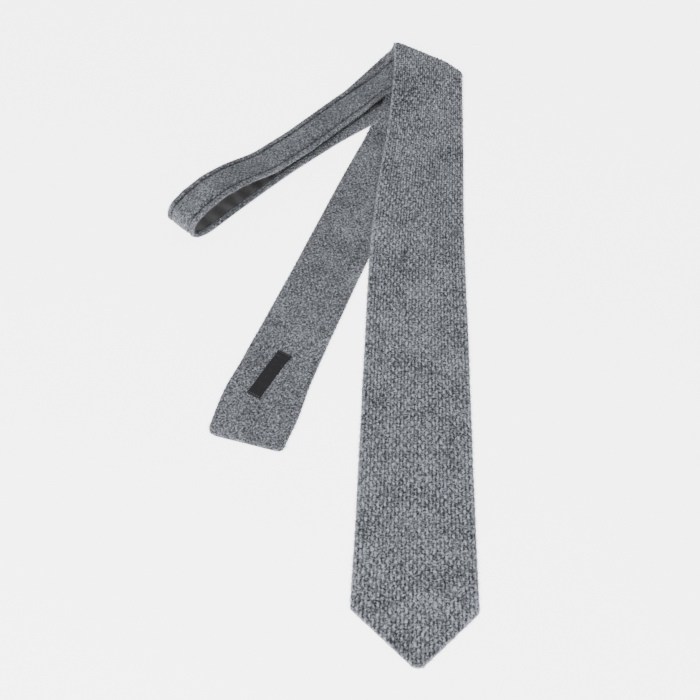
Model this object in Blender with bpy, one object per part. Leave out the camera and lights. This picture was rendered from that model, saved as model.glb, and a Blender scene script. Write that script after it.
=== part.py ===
"""A knitted cashmere necktie, folded once at the neck and laid flat.

The tie is one long strip: a broad front blade with a point, a neck band whose long edges are
turned in over a satin lining, and a square-ended tail. The strip is drawn flat first, by a middle
line and half widths across it. It is then folded at three creases, each time toward its back: the
top crease, where the front blade turns under, the round bend of the neck loop, and the hidden
crease, where the neck band turns under into the tail. Metres, +Z up, +Y from the front blade's
point to the top crease, origin on the floor under the front blade where it is widest.
"""

import math

import bpy
import numpy as np

# Lengths along the strip's middle
BLADE_LENGTH = 0.5400  # point of the front blade to the top crease
NECK_REACH = 0.2750  # top crease to the bend of the loop
NECK_RETURN = 0.2935  # bend of the loop to the hidden crease
TAIL_LENGTH = 0.3940  # hidden crease to the square end
WIDEST_STATION = 0.055  # the origin's distance from the point of the front blade

# Widths
BLADE_WIDTH = 0.0820
NECK_WIDTH = 0.0290
TAIL_WIDTH = 0.0520
LINING_WIDTH = 0.0190

# Cloth
KNIT = 0.0030  # thickness of the blades and of the neck band's turned-in edges
PANEL = 0.0012  # thickness of the neck band between its turned-in edges
PANEL_DIP = 0.0002  # how far the panel lies below the edges on the outer side
CHANNEL_DIP = 0.0005  # how far the seam channel lies below the edges
CHANNEL_WIDTH = 0.0018  # beside the turned-in edge
BORDER_WIDTH = 0.0036  # turned-in edge, seen from the outer side
LINING = 0.0010
LABEL = 0.0010
CLEARANCE = 0.0003  # between two pieces

# Ends
POINT_HALF_ANGLE = 45.0  # degrees
POINT_RADIUS = 0.0062
POINT_ASIDE = -0.0023
SHOULDER_BLEND = 0.0022
TAIL_CORNER_RADIUS = 0.0045
SEAM_PAST_CREASE = 0.0336  # the blade and the neck band meet this far past the top crease
TAIL_SEAM_PAST_CREASE = 0.0120
LINING_INSET = 0.0040  # the lining stops this far short of the neck band's ends

# Creases: turn from square across the unfolded strip, in degrees
TOP_TURN = -25.3
LOOP_TURN = 0.1
HIDDEN_TURN = 23.2
LOOP_HEIGHT = 0.0270  # middle of the cloth at the loop's highest place
LOOP_LEAD = 0.0100  # how much farther the lower half of the bend reaches than the upper
TOP_LEAD = 0.0060  # the same at the top crease, for its upper half

# How layers lie on each other
LAYER_EASE = 0.0004  # air between two layers
CREASE_EASE = 0.0010  # more air beside a crease
CREASE_REACH = 0.022
COVER_MARGIN = 0.0015  # a layer starts to drop this far outside the one below
LOWER_RAMP = 0.012  # the neck band and the tail reach the floor after this much more
BLADE_RAMP = 0.022
BEND_FADE = 0.030  # past a bend, the cloth settles onto the layers under it over this length

# Care label on the tail's back
LABEL_LENGTH = 0.0430
LABEL_WIDTH = 0.0108
LABEL_FROM_END = 0.0590
LABEL_ASIDE = 0.0030
LABEL_TURN = 10.0  # degrees

# Part of the strip, share of its length, heading in degrees of the unfolded middle line
HEADINGS = [
    ("blade", 0.00, 90.0),
    ("blade", 0.55, 90.0),
    ("blade", 0.80, 86.5),
    ("blade", 1.00, 89.7),
    ("reach", 0.10, 78.5),
    ("reach", 0.20, 82.6),
    ("reach", 0.60, 82.6),
    ("reach", 1.00, 80.2),
    ("return", 0.80, 80.2),
    ("return", 1.00, 69.8),
    ("tail", 0.05, 69.6),
    ("tail", 0.25, 83.3),
    ("tail", 0.78, 83.3),
    ("tail", 1.00, 78.5),
]
# Part of the strip, share of its length, half width as a share of half the part's named width
HALF_WIDTHS = [
    ("blade", 0.00, 1.040),
    ("blade", 0.10, 1.000),
    ("blade", 0.20, 0.972),
    ("blade", 0.40, 0.935),
    ("blade", 0.60, 0.890),
    ("blade", 0.75, 0.825),
    ("blade", 0.88, 0.745),
    ("blade", 1.00, 0.700),
    ("reach", 0.14, 2.080),
    ("reach", 0.25, 1.820),
    ("reach", 0.38, 1.480),
    ("reach", 0.52, 1.200),
    ("reach", 0.72, 1.030),
    ("reach", 1.00, 1.000),
    ("return", 0.80, 1.000),
    ("return", 1.00, 1.160),
    ("tail", 0.05, 0.690),
    ("tail", 0.20, 0.860),
    ("tail", 0.38, 0.970),
    ("tail", 0.60, 0.985),
    ("tail", 0.84, 1.055),
    ("tail", 0.92, 1.130),
    ("tail", 1.00, 1.060),
]
# Share of the way from the bend to the hidden crease, share of the loop's free height
LOOP_LIFT = [
    (0.000, 0.870),
    (0.030, 0.890),
    (0.100, 1.000),
    (0.156, 0.910),
    (0.196, 0.800),
    (0.240, 0.640),
    (0.280, 0.480),
    (0.324, 0.340),
    (0.392, 0.250),
    (0.480, 0.150),
    (0.680, 0.105),
    (0.770, 0.055),
    (0.850, 0.000),
    (1.000, 0.000),
]

# Longest steps between the lines across the solids
FLAT_STEP = 0.034
RISE_STEP = 0.014  # where the front blade climbs over the layers under it
NEAR_STEP = 0.008  # close to a crease
NECK_STEP = 0.011
LIFT_STEP = 0.0075  # along the loop's upper run
TAIL_STEP = 0.022
BEND_STEP = 0.0032  # round the loop's bend
FOLD_STEP = 0.0016  # round the tight creases
END_STEP = 0.0005  # over the rounded ends
NEAR_CREASE = 0.050  # a crease's steps start this far from it
NEAR_LOOP = 0.020
TAIL_BEND = 0.100  # the tail turns toward its own line over this length

# Share of a rounded edge's radius from the edge inward, share of half the thickness
ROUND_EDGE = [
    (0.00, 0.000),
    (0.30, 0.714),
    (1.00, 1.000),
]

PARTS = {
    "blade": (0.0, BLADE_LENGTH, BLADE_WIDTH),
    "reach": (BLADE_LENGTH, NECK_REACH, NECK_WIDTH),
    "return": (BLADE_LENGTH + NECK_REACH, NECK_RETURN, NECK_WIDTH),
    "tail": (BLADE_LENGTH + NECK_REACH + NECK_RETURN, TAIL_LENGTH, TAIL_WIDTH),
}
TOP_STATION = PARTS["reach"][0]
LOOP_STATION = PARTS["return"][0]
HIDDEN_STATION = PARTS["tail"][0]
STRIP_LENGTH = HIDDEN_STATION + TAIL_LENGTH
SLANT_BEFORE = 0.006  # lines across the strip follow a crease from this far before it
SLANT_PAST = 0.032  # to this far past it
SLANT_FADE = 0.045  # and turn square again over this length
SAMPLE = 0.001  # spacing of the points sampled along the middle line
CREASE_SAMPLES = 41  # places along a crease where its radius is worked out


def smooth(share):
    """Ease from 0 to 1."""
    share = np.clip(share, 0.0, 1.0)
    return share * share * (3.0 - 2.0 * share)


def curve(stations, values, at):
    """Smooth curve through the points, without overshoot."""
    x, y = np.asarray(stations, float), np.asarray(values, float)
    step = np.diff(x)
    slope = np.diff(y) / step
    tangent = np.concatenate([slope[:1], slope[1:], slope[-1:]])
    same = slope[:-1] * slope[1:] > 0.0
    mean = np.where(same, 2.0 * slope[:-1] * slope[1:] / np.where(same, slope[:-1] + slope[1:], 1.0), 0.0)
    tangent[1:-1] = mean
    at = np.clip(at, x[0], x[-1])
    i = np.clip(np.searchsorted(x, at, side="right") - 1, 0, len(x) - 2)
    t = (at - x[i]) / step[i]
    ease = t * t * (3.0 - 2.0 * t)
    return (
        y[i] + (y[i + 1] - y[i]) * ease
        + step[i] * (tangent[i] * t * (1.0 - t) ** 2 - tangent[i + 1] * t * t * (1.0 - t))
    )


def strip_table(rows, scale):
    """Stations along the strip and values from rows of part, share of its length and value."""
    stations = [PARTS[part][0] + share * PARTS[part][1] for part, share, value in rows]
    return stations, [value * scale(part) for part, share, value in rows]


HEADING_TABLE = strip_table(HEADINGS, lambda part: math.radians(1.0))
WIDTH_TABLE = strip_table(HALF_WIDTHS, lambda part: 0.5 * PARTS[part][2])
LINE_STATIONS = np.arange(-20, int(STRIP_LENGTH / SAMPLE) + 40) * SAMPLE
LINE_HEADINGS = curve(HEADING_TABLE[0], HEADING_TABLE[1], LINE_STATIONS)
LINE_POINTS = np.cumsum(
    np.stack([np.cos(LINE_HEADINGS), np.sin(LINE_HEADINGS)], axis=1) * SAMPLE, axis=0
)
LINE_POINTS -= [np.interp(WIDEST_STATION, LINE_STATIONS, LINE_POINTS[:, k]) for k in (0, 1)]


def middle(station):
    return np.stack([np.interp(station, LINE_STATIONS, LINE_POINTS[:, k]) for k in (0, 1)], axis=-1)


def heading(station):
    return np.interp(station, LINE_STATIONS, LINE_HEADINGS)


def direction(angle):
    return np.stack([np.cos(angle), np.sin(angle)], axis=-1)


def half_width(station):
    """Half the strip's width, its corners at the point and at the square end taken off."""
    width = curve(WIDTH_TABLE[0], WIDTH_TABLE[1], station)
    slope = math.radians(POINT_HALF_ANGLE)
    from_point = np.maximum(station, 0.0)
    touch = POINT_RADIUS * (1.0 - math.sin(slope))
    nose = np.sqrt(np.maximum(POINT_RADIUS**2 - (POINT_RADIUS - np.minimum(from_point, touch)) ** 2, 0.0))
    nose = nose + np.maximum(from_point - touch, 0.0) * math.tan(slope)
    blend = np.clip(0.5 + 0.5 * (nose - width) / SHOULDER_BLEND, 0.0, 1.0)
    width = nose * (1.0 - blend) + width * blend - SHOULDER_BLEND * blend * (1.0 - blend)
    from_end = np.clip(STRIP_LENGTH - station, 0.0, TAIL_CORNER_RADIUS)
    corner = np.sqrt(np.maximum(TAIL_CORNER_RADIUS**2 - (TAIL_CORNER_RADIUS - from_end) ** 2, 0.0))
    return np.maximum(width - TAIL_CORNER_RADIUS + corner, 0.0)


def aside(station):
    """Sideways shift of the strip's middle toward the point of the front blade."""
    return POINT_ASIDE * np.clip(1.0 - station / (0.5 * BLADE_WIDTH), 0.0, 1.0)


def skew(station):
    """Slant of the lines across the strip, so that they run along the creases near them."""
    slant = np.zeros_like(station)
    for at, turn in ((TOP_STATION, TOP_TURN), (LOOP_STATION, LOOP_TURN), (HIDDEN_STATION, HIDDEN_TURN)):
        past = station - at
        near = 1.0 - smooth((np.maximum(-past, past - SLANT_PAST) - SLANT_BEFORE) / SLANT_FADE)
        slant = slant - math.tan(math.radians(turn)) * near
    return slant


def flat(station, across):
    """Point of the unfolded plane at a station and a distance to the left of the middle line."""
    angle = heading(station)
    side = direction(angle + 0.5 * math.pi) + skew(station)[..., None] * direction(angle)
    return middle(station) + across[..., None] * side


def edge(station, side):
    """Distance from the middle line to the strip's left (+1) or right (-1) edge."""
    across = side * half_width(station)
    for _ in range(4):
        along = station + across * skew(station)
        across = side * half_width(along) + aside(along)
    return across


class Crease:
    """A fold of the strip toward its back, across a straight line of the unfolded strip."""

    def __init__(self, station, turn, lead=0.0):
        ahead = heading(station) + math.radians(turn)
        self.station = station
        self.turn = math.radians(turn)
        self.lead = lead
        self.point = middle(station)
        self.ahead = direction(ahead)
        self.along = direction(ahead + 0.5 * math.pi)
        ends = [edge(np.array([station]), side)[0] / math.cos(self.turn) for side in (-1.0, 1.0)]
        self.across = np.linspace(ends[0], ends[1], CREASE_SAMPLES)
        self.radii = np.full(self.across.shape, 0.5 * (KNIT + LAYER_EASE) + 0.5 * CREASE_EASE)

    def quarters(self, across):
        """Radius of the bend, and the lengths of its first and its second quarter turn."""
        radius = np.interp(across, self.across, self.radii)
        first = 0.5 * math.pi * np.sqrt(0.5 * ((radius + self.lead) ** 2 + radius**2))
        return radius, first, 0.5 * math.pi * radius

    def length(self, across):
        radius, first, second = self.quarters(across)
        return first + second

    def line(self):
        """Points along the crease, in the unfolded plane."""
        return self.point + self.across[:, None] * self.along

    def measure(self, points):
        """Distance past the crease, distance along it, and angle around its bend."""
        rel = points - self.point
        past, across = rel @ self.ahead, rel @ self.along
        radius, first, second = self.quarters(across)
        turns = np.minimum(past / first, 1.0) + np.clip((past - first) / second, 0.0, 1.0)
        return past, across, 0.5 * math.pi * np.maximum(turns, 0.0)

    def fold(self, points, bends):
        """Plan places of points past the crease; only the next part of the strip bends at it."""
        past, across, angle = self.measure(points)
        radius, first, second = self.quarters(across)
        reach = self.lead + first + second - past
        if bends:
            lead = np.where(past < first, self.lead * np.sin(angle), self.lead)
            reach = radius * np.sin(angle) + np.minimum(reach, lead)
        return self.point + reach[:, None] * self.ahead + across[:, None] * self.along


TOP = Crease(TOP_STATION, TOP_TURN, TOP_LEAD)
LOOP = Crease(LOOP_STATION, LOOP_TURN, LOOP_LEAD)
HIDDEN = Crease(HIDDEN_STATION, HIDDEN_TURN)
CREASES = [TOP, LOOP, HIDDEN]
LAYERS = ["blade", "reach", "return", "tail"]
UNDER = {"blade": ["reach", "tail", "return"], "reach": [], "return": ["reach", "tail"], "tail": ["reach"]}


def plan(points, count):
    """Plan places of unfolded points that lie past the first creases, by how many they pass."""
    for crease in reversed(CREASES[:count]):
        points = crease.fold(points, crease is CREASES[count - 1])
    return points


def outline(layer):
    """Closed plan outline of a layer, with the bends at its ends."""
    start = PARTS[layer][0]
    end = start + PARTS[layer][1]
    stations = np.linspace(start, end, 60)
    left = flat(stations, edge(stations, 1.0))
    right = flat(stations, edge(stations, -1.0))
    count = LAYERS.index(layer)
    ring = plan(np.concatenate([left, right[::-1]]), count)
    return ring


def distance(points, ring, closed=True):
    """Distance of each point outside a closed outline, or from an open line."""
    a = ring
    b = np.roll(ring, -1, axis=0)
    if not closed:
        a, b = a[:-1], b[:-1]
    span = b - a
    rel = points[:, None, :] - a[None]
    share = np.clip((rel * span).sum(-1) / np.maximum((span * span).sum(-1), 1e-12), 0.0, 1.0)
    gap = np.sqrt(((rel - share[..., None] * span) ** 2).sum(-1)).min(axis=1)
    if not closed:
        return gap
    crosses = (a[None, :, 1] > points[:, None, 1]) != (b[None, :, 1] > points[:, None, 1])
    level = a[None, :, 0] + (points[:, None, 1] - a[None, :, 1]) * span[None, :, 0] / np.where(
        np.abs(span[None, :, 1]) < 1e-12, 1e-12, span[None, :, 1])
    inside = (crosses & (points[:, None, 0] < level)).sum(axis=1) % 2 == 1
    return np.where(inside, 0.0, gap)


OUTLINES = {}
CREASE_LINES = {}


def crease_line(crease):
    """The part of a crease inside the strip, in plan."""
    return plan(crease.line()[[0, -1]], CREASES.index(crease))


def lift(past_loop):
    """Height of the loop's upper run above the layers under it."""
    free = NECK_RETURN - float(LOOP.length(0.0))
    rows = np.array(LOOP_LIFT)
    share = curve(rows[:, 0], rows[:, 1], past_loop / free)
    return share * (LOOP_HEIGHT - 1.5 * KNIT - LAYER_EASE)


def height(layer, places, past_loop):
    """Height of the middle of the cloth over plan places."""
    total = np.full(len(places), 0.5 * KNIT)
    ramp = BLADE_RAMP if layer == "blade" else LOWER_RAMP
    for other in UNDER[layer]:
        gap = distance(places, OUTLINES[other])
        total = total + (KNIT + LAYER_EASE) * (1.0 - smooth((gap - COVER_MARGIN) / ramp))
    eased = {"blade": ["top", "hidden"], "return": ["hidden"]}.get(layer, [])
    for name in eased:
        gap = distance(places, CREASE_LINES[name], closed=False)
        total = total + CREASE_EASE * (1.0 - smooth(gap / CREASE_REACH))
    if layer == "return":
        total = total + lift(past_loop)
    return total


def past_bend(points):
    """Distance past the loop's bend, for unfolded points."""
    past, across, _ = LOOP.measure(points)
    return np.maximum(past - LOOP.length(across), 0.0)


def settle():
    """Work out each crease's radius from the heights of the two layers that it joins."""
    LOOP.radii[:] = 0.5 * (LOOP_LIFT[0][1] * LOOP_HEIGHT - 0.5 * KNIT)
    for _ in range(3):
        OUTLINES.update({layer: outline(layer) for layer in LAYERS[1:]})
        CREASE_LINES.update({"top": crease_line(TOP), "hidden": crease_line(HIDDEN)})
        for count, crease in enumerate(CREASES):
            line = crease.line()
            places = plan(line, count)
            run = past_bend(line) if crease is HIDDEN else np.zeros(len(line))
            above = height(LAYERS[count], places, run)
            below = height(LAYERS[count + 1], places, run)
            crease.radii = 0.5 * np.abs(above - below)


settle()


def surface(station, across):
    """Middle of the cloth at stations along the strip and distances to the left of its middle."""
    station, across = np.broadcast_arrays(np.asarray(station, float), np.asarray(across, float))
    shape = station.shape
    points = flat(station.ravel(), across.ravel())
    place = np.zeros((len(points), 3))
    layer = sum((crease.measure(points)[0] > 0.0).astype(int) for crease in CREASES)
    for count in range(4):
        rows = np.nonzero(layer == count)[0]
        if not len(rows):
            continue
        part = points[rows]
        spot = plan(part, count)
        run = past_bend(part)
        level = height(LAYERS[count], spot, run)
        if count:
            crease = CREASES[count - 1]
            past, along, angle = crease.measure(part)
            bending = angle < math.pi
            foot = plan(part - past[:, None] * crease.ahead, count - 1)
            none = np.zeros(len(part))
            foot_run = past_bend(part - past[:, None] * crease.ahead) if crease is HIDDEN else none
            above = height(LAYERS[count - 1], foot, foot_run)
            below = height(LAYERS[count], foot, foot_run)
            bend = 0.5 * (above + below) + 0.5 * (above - below) * np.cos(angle)
            past_end = past - crease.length(along)
            end = plan(part - past_end[:, None] * crease.ahead, count)
            step = below - height(LAYERS[count], end, foot_run)
            fading = 1.0 - smooth(past_end / BEND_FADE)
            level = np.where(bending, bend, level + step * fading)
        place[rows, :2] = spot
        place[rows, 2] = level
    return place.reshape(shape + (3,))


def placed(station, across, out):
    """Points at a height above the middle of the cloth, toward its outer face."""
    station, across, out = np.broadcast_arrays(*(np.asarray(x, float) for x in (station, across, out)))
    step = 0.0004
    ahead = surface(station + step, across) - surface(station - step, across)
    side = surface(station, across + step) - surface(station, across - step)
    normal = np.cross(ahead, side)
    normal /= np.linalg.norm(normal, axis=-1, keepdims=True)
    return surface(station, across) + out[..., None] * normal


# Solids


def spread(*runs):
    """Stations over runs of start, end and longest step."""
    parts = [np.linspace(a, b, max(int(math.ceil((b - a) / step - 1e-9)), 1) + 1) for a, b, step in runs]
    return np.unique(np.round(np.concatenate(parts), 6))


def end_rounding(station):
    """Share of the full thickness near the strip's two ends."""
    from_end = np.minimum(station, STRIP_LENGTH - station)
    share = np.clip(from_end / (0.5 * KNIT), 0.06, 1.0)
    return np.sqrt(1.0 - (1.0 - share) ** 2)


def plain_section(station, inner):
    """Columns across a plain knitted panel: across and out for the outer and for the inner face."""
    left, right = edge(station, 1.0), edge(station, -1.0)
    half, centre = 0.5 * (left - right), 0.5 * (left + right)
    thick = 0.5 * KNIT * end_rounding(station)
    radius = 0.5 * KNIT
    columns = [(half - share * radius, rise * thick) for share, rise in ROUND_EDGE]
    columns += [((half - radius) * (1.0 - 2.0 * k / inner), thick) for k in range(1, inner)]
    columns += [(-across, out) for across, out in reversed(columns[:3])]
    return [(centre + across, out, centre + across, -out) for across, out in columns]


def neck_section(station):
    """Columns across the neck band: raised edges, seam channels, panel, and the lining's recess."""
    radius = 0.5 * KNIT
    floor = radius - PANEL_DIP - PANEL
    recess = 0.5 * LINING_WIDTH + CLEARANCE
    sides = []
    for side in (1.0, -1.0):
        half = side * edge(station, side)
        border = half - BORDER_WIDTH
        rows = [(half - share * radius, rise * radius, half - share * radius, -rise * radius)
                for share, rise in ROUND_EDGE]
        rows += [
            (border, radius, recess, -radius),
            (border - 0.5 * CHANNEL_WIDTH, radius - CHANNEL_DIP, recess, floor),
            (border - CHANNEL_WIDTH, radius - PANEL_DIP, 0.5 * recess, floor),
        ]
        sides.append([(side * a, b, side * c, d) for a, b, c, d in rows])
    middle_row = (0.0, radius - PANEL_DIP, 0.0, floor)
    return sides[0] + [middle_row] + sides[1][::-1]


def lining_section(station):
    """Columns across the lining, which lies in the neck band's recess."""
    top = 0.5 * KNIT - PANEL_DIP - PANEL - CLEARANCE
    half = 0.5 * LINING_WIDTH
    chamfer = 0.3 * LINING
    rows = [(half, top - 0.5 * LINING, top - 0.5 * LINING), (half - chamfer, top, top - LINING)]
    rows += [(0.5 * (half + CLEARANCE), top, top - LINING)]
    rows += [(0.0, top, top - LINING)] + [(-across, upper, lower) for across, upper, lower in reversed(rows)]
    return [(across, upper, across, lower) for across, upper, lower in rows]


def skin(name, station, section, material):
    """Closed solid from columns across the strip at stations along it."""
    upper = np.stack([placed(station, a + 0.0 * station, b + 0.0 * station) for a, b, c, d in section], axis=1)
    lower = np.stack([placed(station, c + 0.0 * station, d + 0.0 * station) for a, b, c, d in section], axis=1)
    return solid(name, upper, lower, material)


def solid(name, upper, lower, material):
    """Closed solid between two grids of points that meet along their first and last columns."""
    count, wide = upper.shape[:2]
    upper[:, [0, -1]] = lower[:, [0, -1]] = 0.5 * (upper[:, [0, -1]] + lower[:, [0, -1]])
    points = np.concatenate([upper.reshape(-1, 3), lower[:, 1:-1].reshape(-1, 3)])

    def top(i, j):
        return i * wide + j

    def low(i, j):
        return top(i, j) if j in (0, wide - 1) else count * wide + i * (wide - 2) + j - 1

    faces = []
    for i in range(count - 1):
        for j in range(wide - 1):
            faces.append([top(i, j), top(i, j + 1), top(i + 1, j + 1), top(i + 1, j)])
            faces.append([low(i, j), low(i + 1, j), low(i + 1, j + 1), low(i, j + 1)])
    for j in range(wide - 1):
        for i, order in ((0, 1), (count - 1, -1)):
            ring = [top(i, j), low(i, j), low(i, j + 1), top(i, j + 1)]
            ring = [k for n, k in enumerate(ring) if k not in ring[:n]]
            faces.append(ring[::order])
    mesh = bpy.data.meshes.new(name)
    mesh.from_pydata([tuple(p) for p in points], [], faces)
    mesh.materials.append(material)
    thing = bpy.data.objects.new(name, mesh)
    bpy.context.scene.collection.objects.link(thing)
    bpy.ops.object.select_all(action="DESELECT")
    bpy.context.view_layer.objects.active = thing
    thing.select_set(True)
    bpy.ops.object.shade_smooth()
    mesh.set_sharp_from_angle(angle=math.radians(50.0))
    thing.select_set(False)
    return thing


def finish(name, colour, roughness):
    material = bpy.data.materials.new(name)
    material.use_nodes = True
    shader = material.node_tree.nodes["Principled BSDF"]
    shader.inputs["Base Color"].default_value = (*colour, 1.0)
    shader.inputs["Roughness"].default_value = roughness
    shader.inputs["Metallic"].default_value = 0.0
    return material


def label_grids():
    """Upper and lower points of the care label, turned on the tail's back."""
    turn = math.radians(LABEL_TURN)
    chamfer = 0.3 * LABEL
    along = np.array([-0.5, 0.5]) * LABEL_LENGTH
    along = np.concatenate([[along[0], along[0] + chamfer], np.linspace(*along, 5)[1:-1],
                            [along[1] - chamfer, along[1]]])
    half = 0.5 * LABEL_WIDTH
    near, far = -(0.5 * KNIT + CLEARANCE), -(0.5 * KNIT + CLEARANCE + LABEL)
    mid = 0.5 * (near + far)
    grids = []
    for out in (near, far):
        columns = []
        for across, level in ((half, mid), (half - chamfer, out), (chamfer - half, out), (-half, mid)):
            level = np.where(np.abs(along) > 0.5 * LABEL_LENGTH - 0.5 * chamfer, 0.5 * (mid + level), level)
            columns.append(placed(
                STRIP_LENGTH - LABEL_FROM_END + along * math.cos(turn) - across * math.sin(turn),
                LABEL_ASIDE + along * math.sin(turn) + across * math.cos(turn), level))
        grids.append(np.stack(columns, axis=1))
    return grids


def build():
    for thing in list(bpy.data.objects):
        bpy.data.objects.remove(thing, do_unlink=True)
    knit = finish("grey_knit", (0.185, 0.195, 0.215), 0.95)
    neck_knit = finish("neck_knit", (0.195, 0.205, 0.222), 0.95)
    tail_knit = finish("tail_knit", (0.205, 0.215, 0.232), 0.95)
    satin = finish("lining_satin", (0.098, 0.098, 0.103), 0.45)
    tape = finish("label_tape", (0.020, 0.020, 0.022), 0.60)

    shoulder = 0.5 * BLADE_WIDTH
    seam = TOP_STATION + SEAM_PAST_CREASE
    tail_seam = HIDDEN_STATION + TAIL_SEAM_PAST_CREASE
    rounded = 0.5 * KNIT
    rise = 0.56 * TOP_STATION
    blade_stations = spread(
        (0.7 * END_STEP, rounded, END_STEP), (rounded, POINT_RADIUS, FOLD_STEP),
        (POINT_RADIUS, 0.9 * shoulder, NEAR_STEP), (0.9 * shoulder, 1.15 * shoulder, FOLD_STEP),
        (1.15 * shoulder, rise, FLAT_STEP), (rise, TOP_STATION - NEAR_CREASE, RISE_STEP),
        (TOP_STATION - NEAR_CREASE, TOP_STATION, NEAR_STEP), (TOP_STATION, seam, FOLD_STEP),
    )
    skin("front_blade", blade_stations, plain_section(blade_stations, 8), knit)

    bend = float(LOOP.length(0.0))
    neck_start, neck_end = seam + CLEARANCE, tail_seam - CLEARANCE
    neck_stations = spread(
        (neck_start, LOOP_STATION - NEAR_LOOP, NECK_STEP), (LOOP_STATION - NEAR_LOOP, LOOP_STATION, NEAR_STEP),
        (LOOP_STATION, LOOP_STATION + bend, BEND_STEP),
        (LOOP_STATION + bend, HIDDEN_STATION, LIFT_STEP), (HIDDEN_STATION, neck_end, FOLD_STEP),
    )
    skin("neck_band", neck_stations, neck_section(neck_stations), neck_knit)
    lined = neck_stations[1:-1]
    lined = lined[(lined > neck_start + LINING_INSET) & (lined < neck_end - LINING_INSET)]
    skin("neck_lining", lined, lining_section(lined), satin)

    corner = STRIP_LENGTH - TAIL_CORNER_RADIUS
    turned = HIDDEN_STATION + TAIL_BEND
    tail_stations = spread(
        (tail_seam, turned, NEAR_STEP), (turned, corner, TAIL_STEP),
        (corner, STRIP_LENGTH - rounded, 2.0 * END_STEP), (STRIP_LENGTH - rounded, STRIP_LENGTH, END_STEP),
    )
    skin("tail_blade", tail_stations, plain_section(tail_stations, 6), tail_knit)
    solid("care_label", *label_grids(), tape)


build()
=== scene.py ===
"""Dressed scene of a knitted cashmere necktie, folded and laid flat on a pale floor.

The tie is one long strip drawn flat, then folded at three creases. Every piece of cloth is a fine
mesh over that folded strip, with the knit's relief, rolled borders, seams, stitches and fuzz.
Metres, +Z up, +Y from the front blade's point to the top crease.
"""

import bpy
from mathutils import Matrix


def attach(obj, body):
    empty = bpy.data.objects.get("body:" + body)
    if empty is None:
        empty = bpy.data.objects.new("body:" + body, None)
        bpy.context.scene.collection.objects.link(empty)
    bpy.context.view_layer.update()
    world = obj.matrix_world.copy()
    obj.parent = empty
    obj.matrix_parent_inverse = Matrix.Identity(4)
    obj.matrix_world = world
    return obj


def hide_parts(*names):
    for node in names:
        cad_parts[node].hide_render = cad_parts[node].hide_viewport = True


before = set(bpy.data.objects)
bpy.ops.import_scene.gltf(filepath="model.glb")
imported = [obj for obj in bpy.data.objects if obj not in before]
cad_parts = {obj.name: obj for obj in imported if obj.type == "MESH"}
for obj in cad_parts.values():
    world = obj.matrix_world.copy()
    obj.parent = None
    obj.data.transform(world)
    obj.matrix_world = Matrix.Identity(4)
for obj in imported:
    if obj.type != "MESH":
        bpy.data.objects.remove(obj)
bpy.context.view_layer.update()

import logging
import math
from dataclasses import dataclass, field
from enum import Enum
from functools import reduce

import bpy
import numpy as np
from mathutils import Vector

LOG = logging.getLogger("tie")
Array = np.ndarray
Value = float | tuple | bpy.types.NodeSocket


class Part(Enum):
    """Parts of the unfolded strip, in order from the front blade's point."""

    BLADE = 0
    REACH = 1
    RETURN = 2
    TAIL = 3


class Face(Enum):
    """Sides of the cloth; the outer one is toward the cloth's normal."""

    OUTER = 1.0
    BACK = -1.0


@dataclass(frozen=True)
class Sizes:
    """Sizes of the strip, its cloth and its creases, in metres and degrees."""

    lengths: tuple = (0.5400, 0.2750, 0.2935, 0.3940)
    widths: tuple = (0.0820, 0.0290, 0.0290, 0.0520)
    widest_station: float = 0.055
    lining_width: float = 0.0190
    knit: float = 0.0030
    clearance: float = 0.0003
    point_half_angle: float = 45.0
    point_radius: float = 0.0062
    point_aside: float = -0.0023
    shoulder_blend: float = 0.0022
    tail_corner_radius: float = 0.0045
    seam_past_crease: float = 0.0336
    tail_seam_past_crease: float = 0.0120
    lining_inset: float = 0.0040
    turns: tuple = (-25.3, 0.1, 23.2)
    leads: tuple = (0.0060, 0.0100, 0.0)
    loop_height: float = 0.0270
    layer_ease: float = 0.0004
    crease_ease: float = 0.0010
    crease_reach: float = 0.022
    cover_margin: float = 0.0015
    lower_ramp: float = 0.012
    blade_ramp: float = 0.022
    bend_fade: float = 0.030
    label_length: float = 0.0430
    label_width: float = 0.0108
    label_from_end: float = 0.0590
    label_aside: float = 0.0030
    label_turn: float = 10.0
    slant_before: float = 0.006
    slant_past: float = 0.032
    slant_fade: float = 0.045
    sample: float = 0.001
    crease_samples: int = 41

    @property
    def starts(self) -> list[float]:
        """Stations where the four parts start, and the strip's end."""
        return [0.0, *np.cumsum(self.lengths).tolist()]

    @property
    def total(self) -> float:
        """Length of the whole strip."""
        return float(sum(self.lengths))


# For each part, points of its share and the heading there, in degrees
HEADINGS = {
    Part.BLADE: ((0.00, 90.0), (0.55, 90.0), (0.80, 86.5), (1.00, 89.7)),
    Part.REACH: ((0.10, 78.5), (0.20, 82.6), (0.60, 82.6), (1.00, 80.2)),
    Part.RETURN: ((0.80, 80.2), (1.00, 69.8)),
    Part.TAIL: ((0.05, 69.6), (0.25, 83.3), (0.78, 83.3), (1.00, 78.5)),
}
# For each part, points of its share and the half width there, over half its named width
HALF_WIDTHS = {
    Part.BLADE: ((0.00, 1.040), (0.10, 1.000), (0.20, 0.972), (0.40, 0.935), (0.60, 0.890), (0.75, 0.825),
                 (0.88, 0.745), (1.00, 0.700)),
    Part.REACH: ((0.14, 2.080), (0.25, 1.820), (0.38, 1.480), (0.52, 1.200), (0.72, 1.030), (1.00, 1.000)),
    Part.RETURN: ((0.80, 1.000), (1.00, 1.160)),
    Part.TAIL: ((0.05, 0.690), (0.20, 0.860), (0.38, 0.970), (0.60, 0.985), (0.84, 1.055), (0.92, 1.130),
                (1.00, 1.060)),
}
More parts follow.
